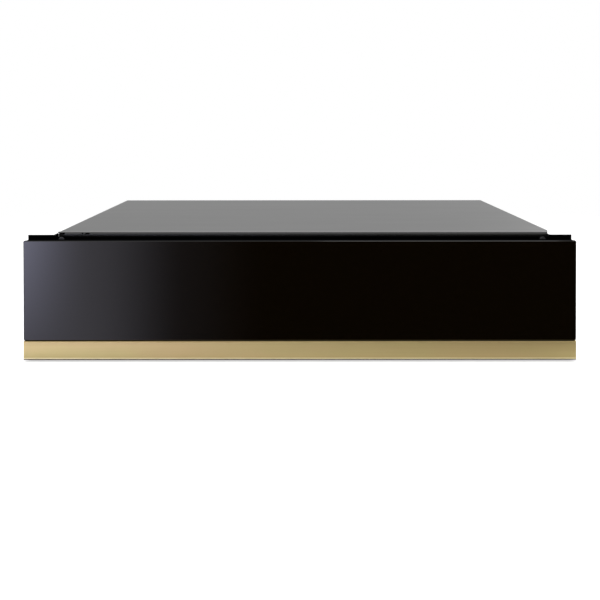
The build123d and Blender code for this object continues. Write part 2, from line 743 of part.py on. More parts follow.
# Touch controls: a black glass strip over the control board
control_thickness = 3.0
control_glass = upright(rounded(control_width, control_length, 4.0, drawer_middle, control_middle),
                        deck_top, deck_top + control_thickness)
control_glass = chamfer(control_glass.faces().sort_by(Axis.Z)[-1].edges(), 0.5)
save("control_glass", control_glass)
board_sheet = 1.6
sensor_height = 0.6
sensor_pitch = 38.0
board_top = deck_top - sensor_height
control_board = upright(rounded(control_width - 24.0, control_length - 16.0, 2.0, drawer_middle,
                                control_middle), board_top - board_sheet, board_top)
sensor_pads = repeated(Pos(drawer_middle, control_middle) * GridLocations(sensor_pitch, 1.0, 6, 1), Circle(6.0))
control_board += upright(sensor_pads, board_top, deck_top)
save("control_board", control_board)


# Vacuum chamber: a deep-drawn pan with drafted walls, a wide foot radius and a flat rim
def pan(shrink, floor, top):
    """A drafted rounded-rectangle tub whose mouth is drawn in by shrink all round."""
    mouth = rounded(chamber_width - 2 * shrink, chamber_length - 2 * shrink, chamber_corner - shrink,
                    drawer_middle, chamber_middle)
    body = Pos(0, front_y, top) * extrude(mouth, top - floor, dir=(0, 0, -1), taper=chamber_draft)
    foot = body.faces().sort_by(Axis.Z)[0].edges()
    return fillet(foot, chamber_foot - shrink)


rim = upright(rounded(chamber_width + 2 * rim_width, chamber_length + 2 * rim_width,
                      chamber_corner + rim_width, drawer_middle, chamber_middle), deck_top, rim_top)
lift_xs = (drawer_middle - lift_spacing / 2, drawer_middle + lift_spacing / 2)
bar_depth = control_room + bar_setback
port_x = drawer_middle - port_offset
port_depth = chamber_back - port_setback
chamber = pan(0, chamber_floor, rim_top) + rim - pan(chamber_wall, chamber_base, rim_top)
for x in lift_xs:
    chamber -= rod(x, bar_depth, chamber_floor - 1, (0, 0, 1), nipple_hole, chamber_wall + 2)
chamber -= rod(port_x, port_depth, chamber_floor - 1, (0, 0, 1), port_hole, chamber_wall + 2)
save("chamber_pan", chamber)

# Suction grille: a perforated cap over the port in the chamber's floor, on a stem that ends in a hose spigot
hose_level = base_top + hose_radius + line_seat
grille_inner = grille_radius - grille_wall
grille_cap = rod(port_x, port_depth, chamber_base, (0, 0, 1), grille_radius, grille_height)
grille_cap = fillet(grille_cap.edges().sort_by(Axis.Z)[-1], grille_wall)
grille_cap -= rod(port_x, port_depth, chamber_base, (0, 0, 1), grille_inner, grille_height - 1.4)
for radius, count in ((6.0, 6), (12.5, 12)):
    holes = repeated(Pos(port_x, port_depth) * PolarLocations(radius, count), Circle(1.6))
    grille_cap -= upright(holes, chamber_base + 1.0, chamber_base + 6.0)
stem_foot = base_top + 0.5
stem_bore = 4.0
stem_flange = 0.8
spigot_radius = 2.8
spigot_length = 10.0
stem = rod(port_x, port_depth, stem_foot, (0, 0, 1), port_hole - port_play,
           chamber_base + stem_flange - stem_foot)
stem += rod(port_x, port_depth, hose_level, (0, 1, 0), spigot_radius, spigot_length)
stem += rod(port_x, port_depth, chamber_base, (0, 0, 1), grille_inner + 0.2, stem_flange)
stem -= rod(port_x, port_depth, hose_level, (0, 0, 1), stem_bore, chamber_base + 2.0 - hose_level)
save("suction_grille", grille_cap + stem)

# Chamber seal: a silicone ring between the rim and the lid
seal_inset = 4.0
seal_span = seal_width + seal_inset
seal_outer = rounded(chamber_width + 2 * seal_span, chamber_length + 2 * seal_span,
                     chamber_corner + seal_span, drawer_middle, chamber_middle)
seal_inner = rounded(chamber_width + 2 * seal_inset, chamber_length + 2 * seal_inset,
                     chamber_corner + seal_inset, drawer_middle, chamber_middle)
save("chamber_seal", upright(seal_outer - seal_inner, rim_top, lid_bottom))

# Glass lid, with polished edges
lid = upright(rounded(lid_width, lid_length, lid_corner, drawer_middle, chamber_middle), lid_bottom, lid_top)
lid = fillet(lid.faces().sort_by(Axis.Z)[-1].edges(), lid_edge)
save("lid_glass", lid)

# Counter bar: an aluminium holder bonded under the lid, and the silicone strip in it
holder_half = counter_width / 2 + holder_wall
holder_base = lid_bottom - holder_wall
holder_low = lid_bottom - counter_height + 1.5
holder = block(drawer_middle - bar_length / 2, drawer_middle + bar_length / 2, bar_depth - holder_half,
               bar_depth + holder_half, holder_low, lid_bottom)
holder -= block(drawer_middle - bar_length / 2, drawer_middle + bar_length / 2, bar_depth - counter_width / 2,
                bar_depth + counter_width / 2, holder_low, holder_base)
save("counter_bar_holder", holder)
counter_bottom = holder_base - counter_height
counter_section = Pos(bar_depth, (counter_bottom + holder_base) / 2) * Rectangle(counter_width, counter_height)
counter_section = fillet(counter_section.vertices().sort_by(Axis.Y)[:2], 2.0)
save("counter_bar", along_x(counter_section, drawer_middle - bar_length / 2, drawer_middle + bar_length / 2))

# Sealing bar: an aluminium profile on two lift rods, with its heating band and end blocks
bar_top_rest = counter_bottom - bar_play - bar_lift
bar_base = bar_top_rest - bar_height_sealing
bar_section = Pos(bar_depth, (bar_base + bar_top_rest) / 2) * Rectangle(bar_width, bar_height_sealing)
bar_section = fillet(bar_section.vertices(), 1.0)
groove_rise = 8.0
groove_size = 4.0
for sign in (-1, 1):
    groove = Pos(bar_depth + sign * bar_width / 2, bar_base + groove_rise) * Rectangle(groove_size, groove_size)
    bar_section -= groove
end_block = 9.0
bar_left = drawer_middle - bar_length / 2
bar_right = drawer_middle + bar_length / 2
sealing_bar = along_x(bar_section, bar_left + end_block, bar_right - end_block)
rod_seat = 10.0
for x in lift_xs:
    sealing_bar -= rod(x, bar_depth, bar_base, (0, 0, 1), lift_rod + running_play, rod_seat)
save("sealing_bar", sealing_bar)
band_half = 2.5
save("heating_band", block(bar_left + end_block, bar_right - end_block, bar_depth - band_half,
                           bar_depth + band_half, bar_top_rest, bar_top_rest + band_thickness))
end_blocks = [block(x, x + end_block, bar_depth - bar_width / 2, bar_depth + bar_width / 2, bar_base,
                    bar_top_rest) for x in (bar_left, bar_right - end_block)]
save("bar_end_blocks", *[fillet(piece.edges().filter_by(Axis.Z), 2.0) for piece in end_blocks])

# Lift cylinders on the chamber's floor, and the pistons that carry the bar
cap_wall = 3.0
cylinder_gap = 5.0
nipple_bore = 1.5
piston_height = 9.0
piston_play = 0.5
cylinder_top = bar_base - cylinder_gap
nipple_base = base_top + 0.5
cylinders = []
pistons = []
for x in lift_xs:
    barrel = rod(x, bar_depth, chamber_base, (0, 0, 1), lift_radius, cylinder_top - chamber_base)
    barrel = chamfer(barrel.edges().filter_by(GeomType.CIRCLE).sort_by(Axis.Z)[-1], 1.5)
    barrel += rod(x, bar_depth, nipple_base, (0, 0, 1), nipple_hole - running_play,
                  chamber_base + 1.0 - nipple_base)
    barrel -= rod(x, bar_depth, chamber_base + cap_wall, (0, 0, 1), lift_bore,
                  cylinder_top - chamber_base - 2 * cap_wall)
    barrel -= rod(x, bar_depth, cylinder_top - cap_wall - 1, (0, 0, 1), lift_rod + running_play, cap_wall + 2)
    barrel -= rod(x, bar_depth, nipple_base + 3.0, (0, 0, 1), nipple_bore,
                  chamber_base + cap_wall - nipple_base)
    cylinders.append(barrel)
    piston_base = chamber_base + cap_wall + piston_play
    piston = rod(x, bar_depth, piston_base, (0, 0, 1), lift_bore - running_play, piston_height)
    piston += rod(x, bar_depth, piston_base, (0, 0, 1), lift_rod, bar_base + rod_seat - piston_base)
    pistons.append(piston)
save("lift_cylinders", *cylinders)
save("lift_pistons", *pistons)

# Lid hinges: brackets on the deck, arms clamped on the lid's rear edge, pins and torsion springs
pin_depth = lid_back + pin_setback
pin_level = deck_top + hinge_plate + knuckle_radius + knuckle_play
hinge_xs = (drawer_middle - hinge_spacing / 2, drawer_middle + hinge_spacing / 2)
hinge_half = 21.0
ear = 4.0
ear_play = 0.3
plate_front = 7.0
plate_back = 22.0
clamp_sheet = 1.5
clamp_reach = 14.0
coil_gap = 0.4
coil_turns = 5
spring_half = 8.0
hinge_brackets = []
hinge_arms = []
hinge_pins = []
lid_springs = []
for x in hinge_xs:
    plate = block(x - hinge_half, x + hinge_half, pin_depth - plate_front, pin_depth + plate_back, deck_top,
                  deck_top + hinge_plate)
    for sign in (-1, 1):
        x0 = x + sign * hinge_half
        x1 = x0 - sign * ear
        plate += block(x0, x1, pin_depth - knuckle_radius, pin_depth + knuckle_radius, deck_top, pin_level)
        start = min(x0, x1)
        plate += rod(start, pin_depth, pin_level, (1, 0, 0), knuckle_radius, ear)
    plate -= rod(x - hinge_half, pin_depth, pin_level, (1, 0, 0), pin_radius + running_play, 2 * hinge_half)
    hinge_brackets.append(plate)
    arm_half = hinge_half - ear - ear_play
    arm = rod(x - arm_half, pin_depth, pin_level, (1, 0, 0), knuckle_radius, 2 * arm_half)
    clamp_top = lid_top + clamp_sheet
    arm += block(x - arm_half, x + arm_half, lid_back - clamp_reach, pin_depth, lid_top, clamp_top)
    arm += block(x - arm_half, x + arm_half, lid_back, pin_depth - 1.0, lid_bottom, clamp_top)
    arm -= rod(x - arm_half, pin_depth, pin_level, (1, 0, 0), pin_radius + running_play, 2 * arm_half)
    arm -= block(x - spring_half, x + spring_half, pin_depth - 6.6, pin_depth + 7.0, pin_level - 7.0,
                 pin_level + 9.0)
    hinge_arms.append(arm)
    hinge_pins.append(rod(x - hinge_half - 1.0, pin_depth, pin_level, (1, 0, 0), pin_radius,
                          2 * hinge_half + 2.0))
    coil_radius = pin_radius + spring_wire + 0.5
    coil_pitch = 2 * spring_wire + coil_gap
    coil = Helix(pitch=coil_pitch, height=coil_turns * coil_pitch, radius=coil_radius)
    wire = sweep(Plane(origin=coil @ 0, z_dir=coil % 0) * Circle(spring_wire), path=coil, is_frenet=True)
    spring_plane = Plane(origin=(x - coil_turns * coil_pitch / 2, front_y + pin_depth, pin_level),
                         z_dir=(1, 0, 0))
    lid_springs.append(spring_plane * wire)
save("lid_springs", *lid_springs)
save("hinge_brackets", *hinge_brackets)
save("hinge_arms", *hinge_arms)
save("hinge_pins", *hinge_pins)

# Pump: motor case with fins, stator, pump head with an eccentric bore, end cover and the turning parts
motor_right = pump_left + motor_length
head_right = motor_right + head_length
axis_y = front_y + pump_depth
bore_shift = rotor_bore - rotor_radius - 0.2


def disc(x0, length, radius, level=pump_level):
    """A round bar along X on the pump's axis, or on a parallel one at another level."""
    return rod(x0, pump_depth, level, (1, 0, 0), radius, length)


motor_case = disc(pump_left, motor_length, motor_radius)
motor_case = fillet(motor_case.edges().filter_by(GeomType.CIRCLE).sort_by(Axis.X)[0], 6.0)
fin_start = 16.0
fin_plane = Plane(origin=(pump_left + fin_start, axis_y, pump_level), z_dir=(1, 0, 0))
fin = Pos(motor_radius, 0) * Rectangle(2 * fin_height, 2.0)
fins = extrude(repeated(PolarLocations(0, fin_count), fin), motor_length - 2 * fin_start + 2.0)
motor_case += fin_plane * fins
motor_case -= disc(pump_left + motor_wall, motor_length - motor_wall, motor_radius - motor_wall)
end_vents = repeated(PolarLocations(22.0, 8), SlotOverall(16.0, 5.0))
vent_plane = Plane(origin=(pump_left - 1, axis_y, pump_level), z_dir=(1, 0, 0))
motor_case -= vent_plane * extrude(end_vents, motor_wall + 2)
motor_case -= disc(pump_left, motor_wall, shaft_radius + running_play)
save("motor_case", motor_case)
stator_outer = motor_radius - motor_wall
coil_length = 12.0
armature_radius = 23.4
air_gap = 0.6
stator_left = pump_left + motor_wall + coil_length + 14.0
stator_length = motor_length - 58.0
stator = disc(stator_left, stator_length, stator_outer)
stator -= disc(stator_left, stator_length, armature_radius + air_gap)
for x0 in (stator_left - coil_length, stator_left + stator_length):
    coil = disc(x0, coil_length, stator_outer - 4.0) - disc(x0, coil_length, armature_radius + 2.6)
    stator += coil
save("motor_stator", stator)
head_radius = motor_radius + 1.0
head_wall = 8.0
mount_height = 10.0
mount_radius = 7.0
mount_reach = 27.0
pump_head = disc(motor_right, head_length, head_radius)
pump_head += block(motor_right, head_right, pump_depth - mount_reach - mount_radius,
                   pump_depth + mount_reach + mount_radius, base_top + mount_height, pump_level - 10.0)
bore_level = pump_level + bore_shift
pump_head -= disc(motor_right + head_wall, head_length - head_wall, rotor_bore, bore_level)
pump_head -= disc(motor_right, head_wall, shaft_radius + running_play)
save("pump_head", pump_head)
end_cover = disc(head_right, cap_length, head_radius)
end_cover = fillet(end_cover.edges().filter_by(GeomType.CIRCLE).sort_by(Axis.X)[-1], 4.0)
end_cover -= disc(head_right, 6.0, shaft_radius + running_play)
save("pump_end_cover", end_cover)
rotor_left = motor_right + head_wall + running_play
rotor_length = head_length - head_wall - 2 * running_play
vane_length = 13.0
vane_play = 0.2
vane_middle = rotor_radius - vane_length / 2 - vane_play
pump_shaft = disc(pump_left + 1.0, head_right + 5.0 - pump_left - 1.0, shaft_radius)
pump_shaft += disc(stator_left, stator_length, armature_radius)
pump_shaft += disc(rotor_left, rotor_length, rotor_radius)
slot_plane = Plane(origin=(rotor_left, axis_y, pump_level), z_dir=(1, 0, 0))
slot = Pos(vane_middle, 0) * Rectangle(vane_length + 1.0, vane_width + vane_play)
pump_shaft -= slot_plane * extrude(repeated(PolarLocations(0, vane_count), slot), rotor_length)
vane = Pos(vane_middle, 0) * Rectangle(vane_length, vane_width)
vanes = slot_plane * extrude(repeated(PolarLocations(0, vane_count), vane), rotor_length)
save("pump_rotor", pump_shaft, vanes)
mount_points = [(x, pump_depth + dy) for x in (motor_right + head_wall, head_right - head_wall)
                for dy in (-mount_reach, mount_reach)]
save("pump_mounts", *[rod(x, depth, base_top, (0, 0, 1), mount_radius, mount_height)
                      for x, depth in mount_points])

# Valve block, its two solenoid coils and their plungers
valve_left = head_right + cap_length + valve_gap
valve_right = valve_left + valve_length
valve_setback = 95.0
valve_half = 15.0
valve_height = 30.0
valve_depth = drawer_depth - valve_setback
valve_top = base_top + valve_height
valve_block = block(valve_left, valve_right, valve_depth - valve_half, valve_depth + valve_half, base_top,
                    valve_top)
valve_block = chamfer(valve_block.edges().filter_by(Axis.Z), 2.0)
coil_inset = 20.0
coil_half = 13.0
valve_xs = (valve_left + coil_inset, valve_right - coil_inset)
plunger_seat = 8.0
plunger_play = 0.5
core_radius = 5.0
coils = []
plungers = []
coil_height = 34.0
for x in valve_xs:
    valve_block -= rod(x, valve_depth, valve_top - plunger_seat, (0, 0, 1), core_radius + running_play,
                       plunger_seat)
    coil = block(x - coil_half, x + coil_half, valve_depth - valve_half + 1.0, valve_depth + valve_half - 1.0,
                 valve_top, valve_top + coil_height)
    coil = fillet(coil.edges().filter_by(Axis.Z), 3.0)
    coil -= rod(x, valve_depth, valve_top, (0, 0, 1), core_radius + running_play, coil_height - 6.0)
    coils.append(coil)
    plungers.append(rod(x, valve_depth, valve_top - plunger_seat + plunger_play, (0, 0, 1), core_radius,
                        coil_height - 4.0))
save("valve_block", valve_block)
save("solenoid_coils", *coils)
save("vent_valve_plunger", plungers[0])
save("pump_valve_plunger", plungers[1])


# Hoses on the drawer's floor: straight runs joined by arcs, from spigot to spigot
hose_bend = 14.0
pump_port_drop = 30.0
pump_port_shift = 12.0


def hose(points, radius, bend_radius):
    """A round hose along (X, depth) points at its own level on the floor, or at a given one."""
    path = FilletPolyline(*[(x, front_y + depth, z) for x, depth, z in points], radius=bend_radius)
    return sweep(Plane(origin=path @ 0, z_dir=path % 0) * Circle(radius), path=path)


valve_front = valve_depth - valve_half
valve_back = valve_depth + valve_half
air_level = base_top + air_line_radius + line_seat
suction_hose = hose([(port_x, port_depth + spigot_length, hose_level), (port_x, port_depth + 28.0, hose_level),
                     (valve_xs[0], valve_front - 22.0, hose_level), (valve_xs[0], valve_front, hose_level)],
                    hose_radius, hose_bend)
pump_port_level = pump_level - pump_port_drop
pump_port_depth = pump_depth + pump_port_shift
pump_hose = hose([(valve_xs[1], valve_back, pump_port_level), (valve_xs[1], pump_port_depth, pump_port_level),
                  (head_right + cap_length, pump_port_depth, pump_port_level)], hose_radius, hose_bend)
air_line = rod(valve_xs[1], bar_depth + air_line_radius, air_level, (0, 1, 0), air_line_radius,
               valve_front - bar_depth - air_line_radius)
cross_line = rod(lift_xs[0] + 4.0, bar_depth, air_level, (1, 0, 0), air_line_radius, lift_spacing - 8.0)
save("vacuum_hoses", suction_hose, pump_hose, air_line, cross_line)

# Sealing transformer: laminated core with its winding
core_x = board_left - board_gap - core_width / 2
core_setback = 65.0
core_depth = drawer_depth - core_setback
core_leg = core_width / 6
core_half = 15.0
core_high = base_top + 56.0
winding_play = 0.3
winding_half = 2 * core_leg - 0.5
core = block(core_x - core_width / 2, core_x + core_width / 2, core_depth - core_half, core_depth + core_half,
             base_top, core_high)
for sign in (-1, 1):
    core -= block(core_x + sign * core_leg, core_x + sign * 2 * core_leg, core_depth - core_half,
                  core_depth + core_half, base_top + core_leg, core_high - core_leg)
winding = block(core_x - winding_half, core_x + winding_half, core_depth - core_half - 10.0,
                core_depth + core_half + 10.0, base_top + core_leg + 0.5, core_high - core_leg - 0.5)
winding = fillet(winding.edges().filter_by(Axis.Z), 5.0)
winding -= block(core_x - core_leg - winding_play, core_x + core_leg + winding_play,
                 core_depth - core_half - winding_play, core_depth + core_half + winding_play,
                 base_top + core_leg, core_high - core_leg)
save("transformer", core, winding)

# Power board on pillars, with its tall parts
board_setback = 35.0
board_length = 90.0
board_back = drawer_depth - board_setback
board_front = board_back - board_length
pillar_height = 8.0
pillar_radius = 3.0
pillar_inset = 6.0
can_radius = 8.0
can_height = 24.0
sink_height = 26.0
sink_pitch = 11.0
board_level = base_top + pillar_height
board = block(board_left, board_right, board_front, board_back, board_level, board_level + board_sheet)
for x in (board_left + pillar_inset, board_right - pillar_inset):
    for depth in (board_front + pillar_inset, board_back - pillar_inset):
        board += rod(x, depth, base_top, (0, 0, 1), pillar_radius, pillar_height)
for n in range(3):
    board += rod(board_left + 22.0 + 20.0 * n, board_front + 20.0, board_level, (0, 0, 1), can_radius,
                 can_height + 3.0 * n)
sink_left = board_left + 10.0
sink_front = board_front + 44.0
heat_sink = block(sink_left, sink_left + 60.0, sink_front, sink_front + 18.0, board_level,
                  board_level + sink_height)
for n in range(5):
    x0 = sink_left + 5.0 + sink_pitch * n
    heat_sink -= block(x0, x0 + 6.0, sink_front + 6.0, sink_front + 18.0, board_level + board_sheet,
                       board_level + sink_height)
relay = block(board_right - 34.0, board_right - 10.0, board_front + 12.0, board_front + 30.0, board_level,
              board_level + 18.0)
connector = block(board_right - 36.0, board_right - 10.0, board_front + 50.0, board_front + 60.0, board_level,
                  board_level + 12.0)
save("power_board", board + heat_sink + relay + connector)

# Cooling fan on the rear wall
fan_wall = 2.0
spoke_thickness = 3.0
fan_hole = 2.0
hole_inset = 5.0
fan_back = drawer_depth - drawer_sheet
fan_front = fan_back - fan_thickness
fan_bore = fan_size / 2 - fan_wall
fan_outline = Pos(fan_x, fan_level) * RectangleRounded(fan_size, fan_size, 4.0)
fan_frame = along_y(fan_outline, fan_front, fan_back)
fan_frame -= rod(fan_x, fan_front, fan_level, (0, 1, 0), fan_bore, fan_thickness)
fan_frame += rod(fan_x, fan_back - spoke_thickness, fan_level, (0, 1, 0), fan_hub, spoke_thickness)
for n in range(3):
    spoke = Pos(fan_x, fan_level) * Rot(0, 0, 120 * n + 30) * Pos(fan_bore / 2 + 6.0, 0)
    fan_frame += along_y(spoke * Rectangle(fan_bore - 8.0, 4.0), fan_back - spoke_thickness, fan_back)
for dx, dz in ((-1, -1), (-1, 1), (1, -1), (1, 1)):
    corner = fan_size / 2 - hole_inset
    fan_frame -= rod(fan_x + dx * corner, fan_front, fan_level + dz * corner, (0, 1, 0), fan_hole,
                     fan_thickness)
save("fan_frame", fan_frame)
rotor_back = fan_back - spoke_thickness - 0.5
rotor_front = fan_front + 1.0
fan_rotor = rod(fan_x, rotor_front, fan_level, (0, 1, 0), fan_hub, rotor_back - rotor_front)
blade_play = 0.8
blade_pitch = 32.0
blade_chord = 12.0
blade_sheet = 1.4
rotor_middle = Pos(fan_x, front_y + (rotor_front + rotor_back) / 2, fan_level)
radial = Plane(origin=(0, 0, 0), x_dir=(0, 1, 0), z_dir=(1, 0, 0))
blade = radial * Rot(0, 0, blade_pitch) * extrude(Rectangle(blade_chord, blade_sheet), fan_bore - blade_play)
for n in range(fan_blades):
    fan_rotor += rotor_middle * Rot(0, 360 / fan_blades * n, 0) * blade
save("fan_rotor", fan_rotor)
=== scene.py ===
import math

import bpy
import numpy as np
from mathutils import Matrix, Vector


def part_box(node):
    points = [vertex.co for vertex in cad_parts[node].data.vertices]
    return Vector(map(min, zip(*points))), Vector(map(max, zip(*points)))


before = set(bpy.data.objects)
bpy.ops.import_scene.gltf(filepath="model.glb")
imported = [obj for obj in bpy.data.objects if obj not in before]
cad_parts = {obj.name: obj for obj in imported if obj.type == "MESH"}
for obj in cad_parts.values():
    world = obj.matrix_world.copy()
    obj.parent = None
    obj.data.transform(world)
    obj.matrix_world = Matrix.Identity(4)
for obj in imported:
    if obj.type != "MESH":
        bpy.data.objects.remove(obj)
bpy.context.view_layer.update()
scene = bpy.context.scene
scene.view_settings.view_transform = "Standard"
mm = 0.001

# The camera stands in front of the middle of the drawer, above its top, and looks down by one degree. The
# lens is shifted for the rest, so that the front's upright edges stay upright, as in the photograph.
front_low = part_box("front_glass")[0]
camera_distance = 1278.4 * mm
camera_height = 260.9 * mm
camera_side = 2.3 * mm
camera_turn = math.radians(0.085)
camera_pitch = math.radians(1.0)
camera_roll = math.radians(-0.045)
focal_pixels = 1190.9
frame_pixels = 600
shift_pixels = -159.6
camera_data = bpy.data.cameras.new("camera")
camera_data.sensor_width = 36.0
camera_data.lens = focal_pixels / frame_pixels * camera_data.sensor_width
camera_data.shift_y = shift_pixels / frame_pixels
camera_data.clip_start, camera_data.clip_end = 0.05, 50.0
camera = bpy.data.objects.new("camera", camera_data)
scene.collection.objects.link(camera)
camera.matrix_world = (Matrix.Translation((camera_side, front_low.y - camera_distance, camera_height))
                       @ Matrix.Rotation(camera_turn, 4, "Z")
                       @ Matrix.Rotation(math.pi / 2 - camera_pitch, 4, "X")
                       @ Matrix.Rotation(camera_roll, 4, "Z"))
scene.camera = camera


# The studio is a white backdrop behind and beside the drawer, and a dark room in front of it. The black
# glass mirrors three soft boxes in that room: a wide and a narrow one on the left, and a warm one above the
# horizon, a little right of the middle.
class Tap:
    """One output of a node, so that the maths of a finish is written as plain expressions."""

    def __init__(self, sheet, socket):
        self.sheet, self.socket = sheet, socket

    def __add__(self, other):
        return self.sheet.maths("ADD", self, other)

    def __radd__(self, other):
        return self.sheet.maths("ADD", other, self)

    def __sub__(self, other):
        return self.sheet.maths("SUBTRACT", self, other)

    def __rsub__(self, other):
        return self.sheet.maths("SUBTRACT", other, self)

    def __mul__(self, other):
        return self.sheet.maths("MULTIPLY", self, other)

    def __rmul__(self, other):
        return self.sheet.maths("MULTIPLY", other, self)

    def __truediv__(self, other):
        return self.sheet.maths("DIVIDE", self, other)

    def __neg__(self):
        return self.sheet.maths("MULTIPLY", self, -1.0)

    def __gt__(self, other):
        return self.sheet.maths("GREATER_THAN", self, other)

    def __lt__(self, other):
        return self.sheet.maths("LESS_THAN", self, other)

    def __abs__(self):
        return self.sheet.maths("ABSOLUTE", self)

    def clamped(self):
        """The value, held between 0 and 1."""
        return self.sheet.maths("ADD", self, 0.0, clamp=True)

    def ramp(self, low, high):
        """A smooth step from 0 at low to 1 at high."""
        return self.sheet.node("MapRange", {"interpolation_type": "SMOOTHSTEP"},
                               {"Value": self, "From Min": low, "From Max": high})


class Sheet:
    """A node tree while it is written."""

    def __init__(self, tree):
        self.tree = tree
        tree.nodes.clear()

    def node(self, kind, settings=None, inputs=None, output=0):
        """A node of a kind, its settings first, then the values or links of its sockets."""
        made = self.tree.nodes.new("ShaderNode" + kind)
        for key, value in (settings or {}).items():
            setattr(made, key, value)
        for key, value in (inputs or {}).items():
            if isinstance(value, Tap):
                self.tree.links.new(value.socket, made.inputs[key])
            else:
                made.inputs[key].default_value = value
        return Tap(self, made.outputs[output]) if len(made.outputs) else None

    def maths(self, operation, *values, clamp=False):
        """One sum, product or function of values."""
        return self.node("Math", {"operation": operation, "use_clamp": clamp}, dict(enumerate(values)))

    def mix(self, factor, first, second):
        """One colour changing to another as a factor goes from 0 to 1."""
        def filled(colour):
            return colour if isinstance(colour, Tap) else (*colour, 1.0)
        return self.node("Mix", {"data_type": "RGBA"}, {0: factor, 6: filled(first), 7: filled(second)}, 2)

    def xyz(self, vector):
        """The three parts of a vector."""
        split = self.node("SeparateXYZ", inputs={0: vector})
        return [Tap(self, socket) for socket in split.socket.node.outputs]

    def ray(self, *names):
        """What is known of the ray that is being traced, such as its kind or its length."""
        known = self.node("LightPath").socket.node.outputs
        return [Tap(self, known[name]) for name in names]


world = bpy.data.worlds.new("studio")
world.use_nodes = True
scene.world = world
sky = Sheet(world.node_tree)
side, away, rise = sky.xyz(sky.node("TexCoord"))
camera_ray, glossy_ray, clear_ray = sky.ray("Is Camera Ray", "Is Glossy Ray", "Is Transmission Ray")
# A bearing is in degrees from straight in front, and rise is the sine of the angle above the horizon.
right = sky.maths("ARCTAN2", side, -away) / math.radians(1.0)
left = -right
dark_room = (right.ramp(80.0, 50.0) * right.ramp(-74.0, -44.0)
             * rise.ramp(0.20, 0.03) * rise.ramp(-0.50, -0.24))
open_room = sky.mix(rise.ramp(-0.06, 0.02), (0.74, 0.74, 0.74), (1.0, 1.0, 1.0))
mirrored = sky.mix(dark_room, open_room, (0.030, 0.017, 0.002))
faint_edge = 0.12
wide_box = ((faint_edge * left.ramp(1.5, 7.0) + (1.0 - faint_edge) * left.ramp(5.6, 11.0))
            * left.ramp(32.0, 16.0))
lean_foot, lean_slope, lean_top = -0.127, 13.2, 1.8
lean = sky.maths("MINIMUM", 1.0 + lean_slope * (rise - lean_foot), lean_top)
narrow_box = sky.maths("MAXIMUM", left.ramp(10.0, 16.0) * left.ramp(25.0, 16.0) * lean, 0.0)
high_box = right.ramp(-4.0, 3.0) * right.ramp(17.0, 7.0)
level_band = rise.ramp(0.60, 0.10) * rise.ramp(-0.34, -0.19) * dark_room
high_band = rise.ramp(-0.06, 0.00) * rise.ramp(0.35, 0.15)
for box, band, strength, tint in ((wide_box, level_band, 1.0, (0.99, 0.98, 1.15)),
                                  (narrow_box, level_band, 3.2, (0.95, 0.97, 1.36)),
                                  (high_box, high_band, 0.9, (1.0, 0.93, 0.75))):
    shown = strength * box * band
    glow = sky.node("VectorMath", {"operation": "SCALE"}, {0: tint, "Scale": shown})
    mirrored = sky.node("VectorMath", {"operation": "ADD"}, {0: mirrored, 1: glow})
dome_foot, dome_top = 0.42 * 0.62, 0.62
lit = sky.mix((0.5 + 0.5 * rise).clamped(), (dome_foot,) * 3, (dome_top,) * 3)
seen = sky.mix((glossy_ray + clear_ray).clamped(), lit, mirrored)
seen = sky.mix(camera_ray, seen, (1.0, 1.0, 1.0))
sky.node("OutputWorld", inputs={0: sky.node("Background", inputs={"Color": seen, "Strength": 1.0})})


def area_lamp(name, place, target, width, height, power):
    """A soft box at a place, turned to a target."""
    data = bpy.data.lights.new(name, "AREA")
    data.shape, data.size, data.size_y, data.energy = "RECTANGLE", width, height, power
    lamp = bpy.data.objects.new(name, data)
    scene.collection.objects.link(lamp)
    towards = Vector(target) - Vector(place)
    lamp.matrix_world = Matrix.Translation(place) @ towards.to_track_quat("-Z", "Y").to_matrix().to_4x4()
    lamp.visible_camera = False


area_lamp("key_box", (-1.4, -0.9, 2.0), (0.0, -0.05, 0.06), 1.4, 1.0, 12.0)
area_lamp("top_box", (0.2, 0.4, 2.2), (0.0, 0.0, 0.1), 1.8, 1.8, 18.0)
area_lamp("back_box", (1.3, 1.9, 1.2), (0.0, 0.1, 0.06), 1.2, 0.9, 10.0)

# The floor is a pale disc that fades into the backdrop and takes the drawer's soft shadow. Pieces mirror it
# only from close by, so that the black glass shows the dark room and not the floor in front of it.
floor_radius = 2.6
ring_count, step_count = 24, 96
radii = floor_radius * np.linspace(0.0, 1.0, ring_count + 1)[1:]
turn = 2 * np.pi * np.arange(step_count) / step_count
points = np.stack([np.outer(radii, np.cos(turn)), np.outer(radii, np.sin(turn)),
                   np.zeros((ring_count, step_count))], axis=-1).reshape(-1, 3)
ring, step = np.meshgrid(np.arange(ring_count - 1), np.arange(step_count), indexing="ij")
following = (step + 1) % step_count
corners = [ring * step_count + step, (ring + 1) * step_count + step,
           (ring + 1) * step_count + following, ring * step_count + following]
quads = np.stack(corners, axis=-1).reshape(-1, 4)
floor_mesh = bpy.data.meshes.new("floor")
floor_mesh.from_pydata(points.tolist(), [], quads.tolist() + [list(range(step_count))])
floor = bpy.data.objects.new("floor", floor_mesh)
scene.collection.objects.link(floor)
floor_paint = bpy.data.materials.new("floor_paint")
floor_paint.use_nodes = True
floor_sheet = Sheet(floor_paint.node_tree)
mirror_reach, floor_glow = 0.08, 0.60
fade_start, fade_end = 0.75, 1.9
ground = floor_sheet.node("TexCoord", output=3)
reach = floor_sheet.node("VectorMath", {"operation": "LENGTH"}, {0: ground}, 1)
camera_ray, glossy_ray, ray_length = floor_sheet.ray("Is Camera Ray", "Is Glossy Ray", "Ray Length")
mirrored_far = glossy_ray * (ray_length > mirror_reach)
fade = reach.ramp(fade_end, fade_start) * (1.0 - mirrored_far)
matt = floor_sheet.node("BsdfDiffuse", inputs={"Color": (0.86, 0.86, 0.86, 1.0)})
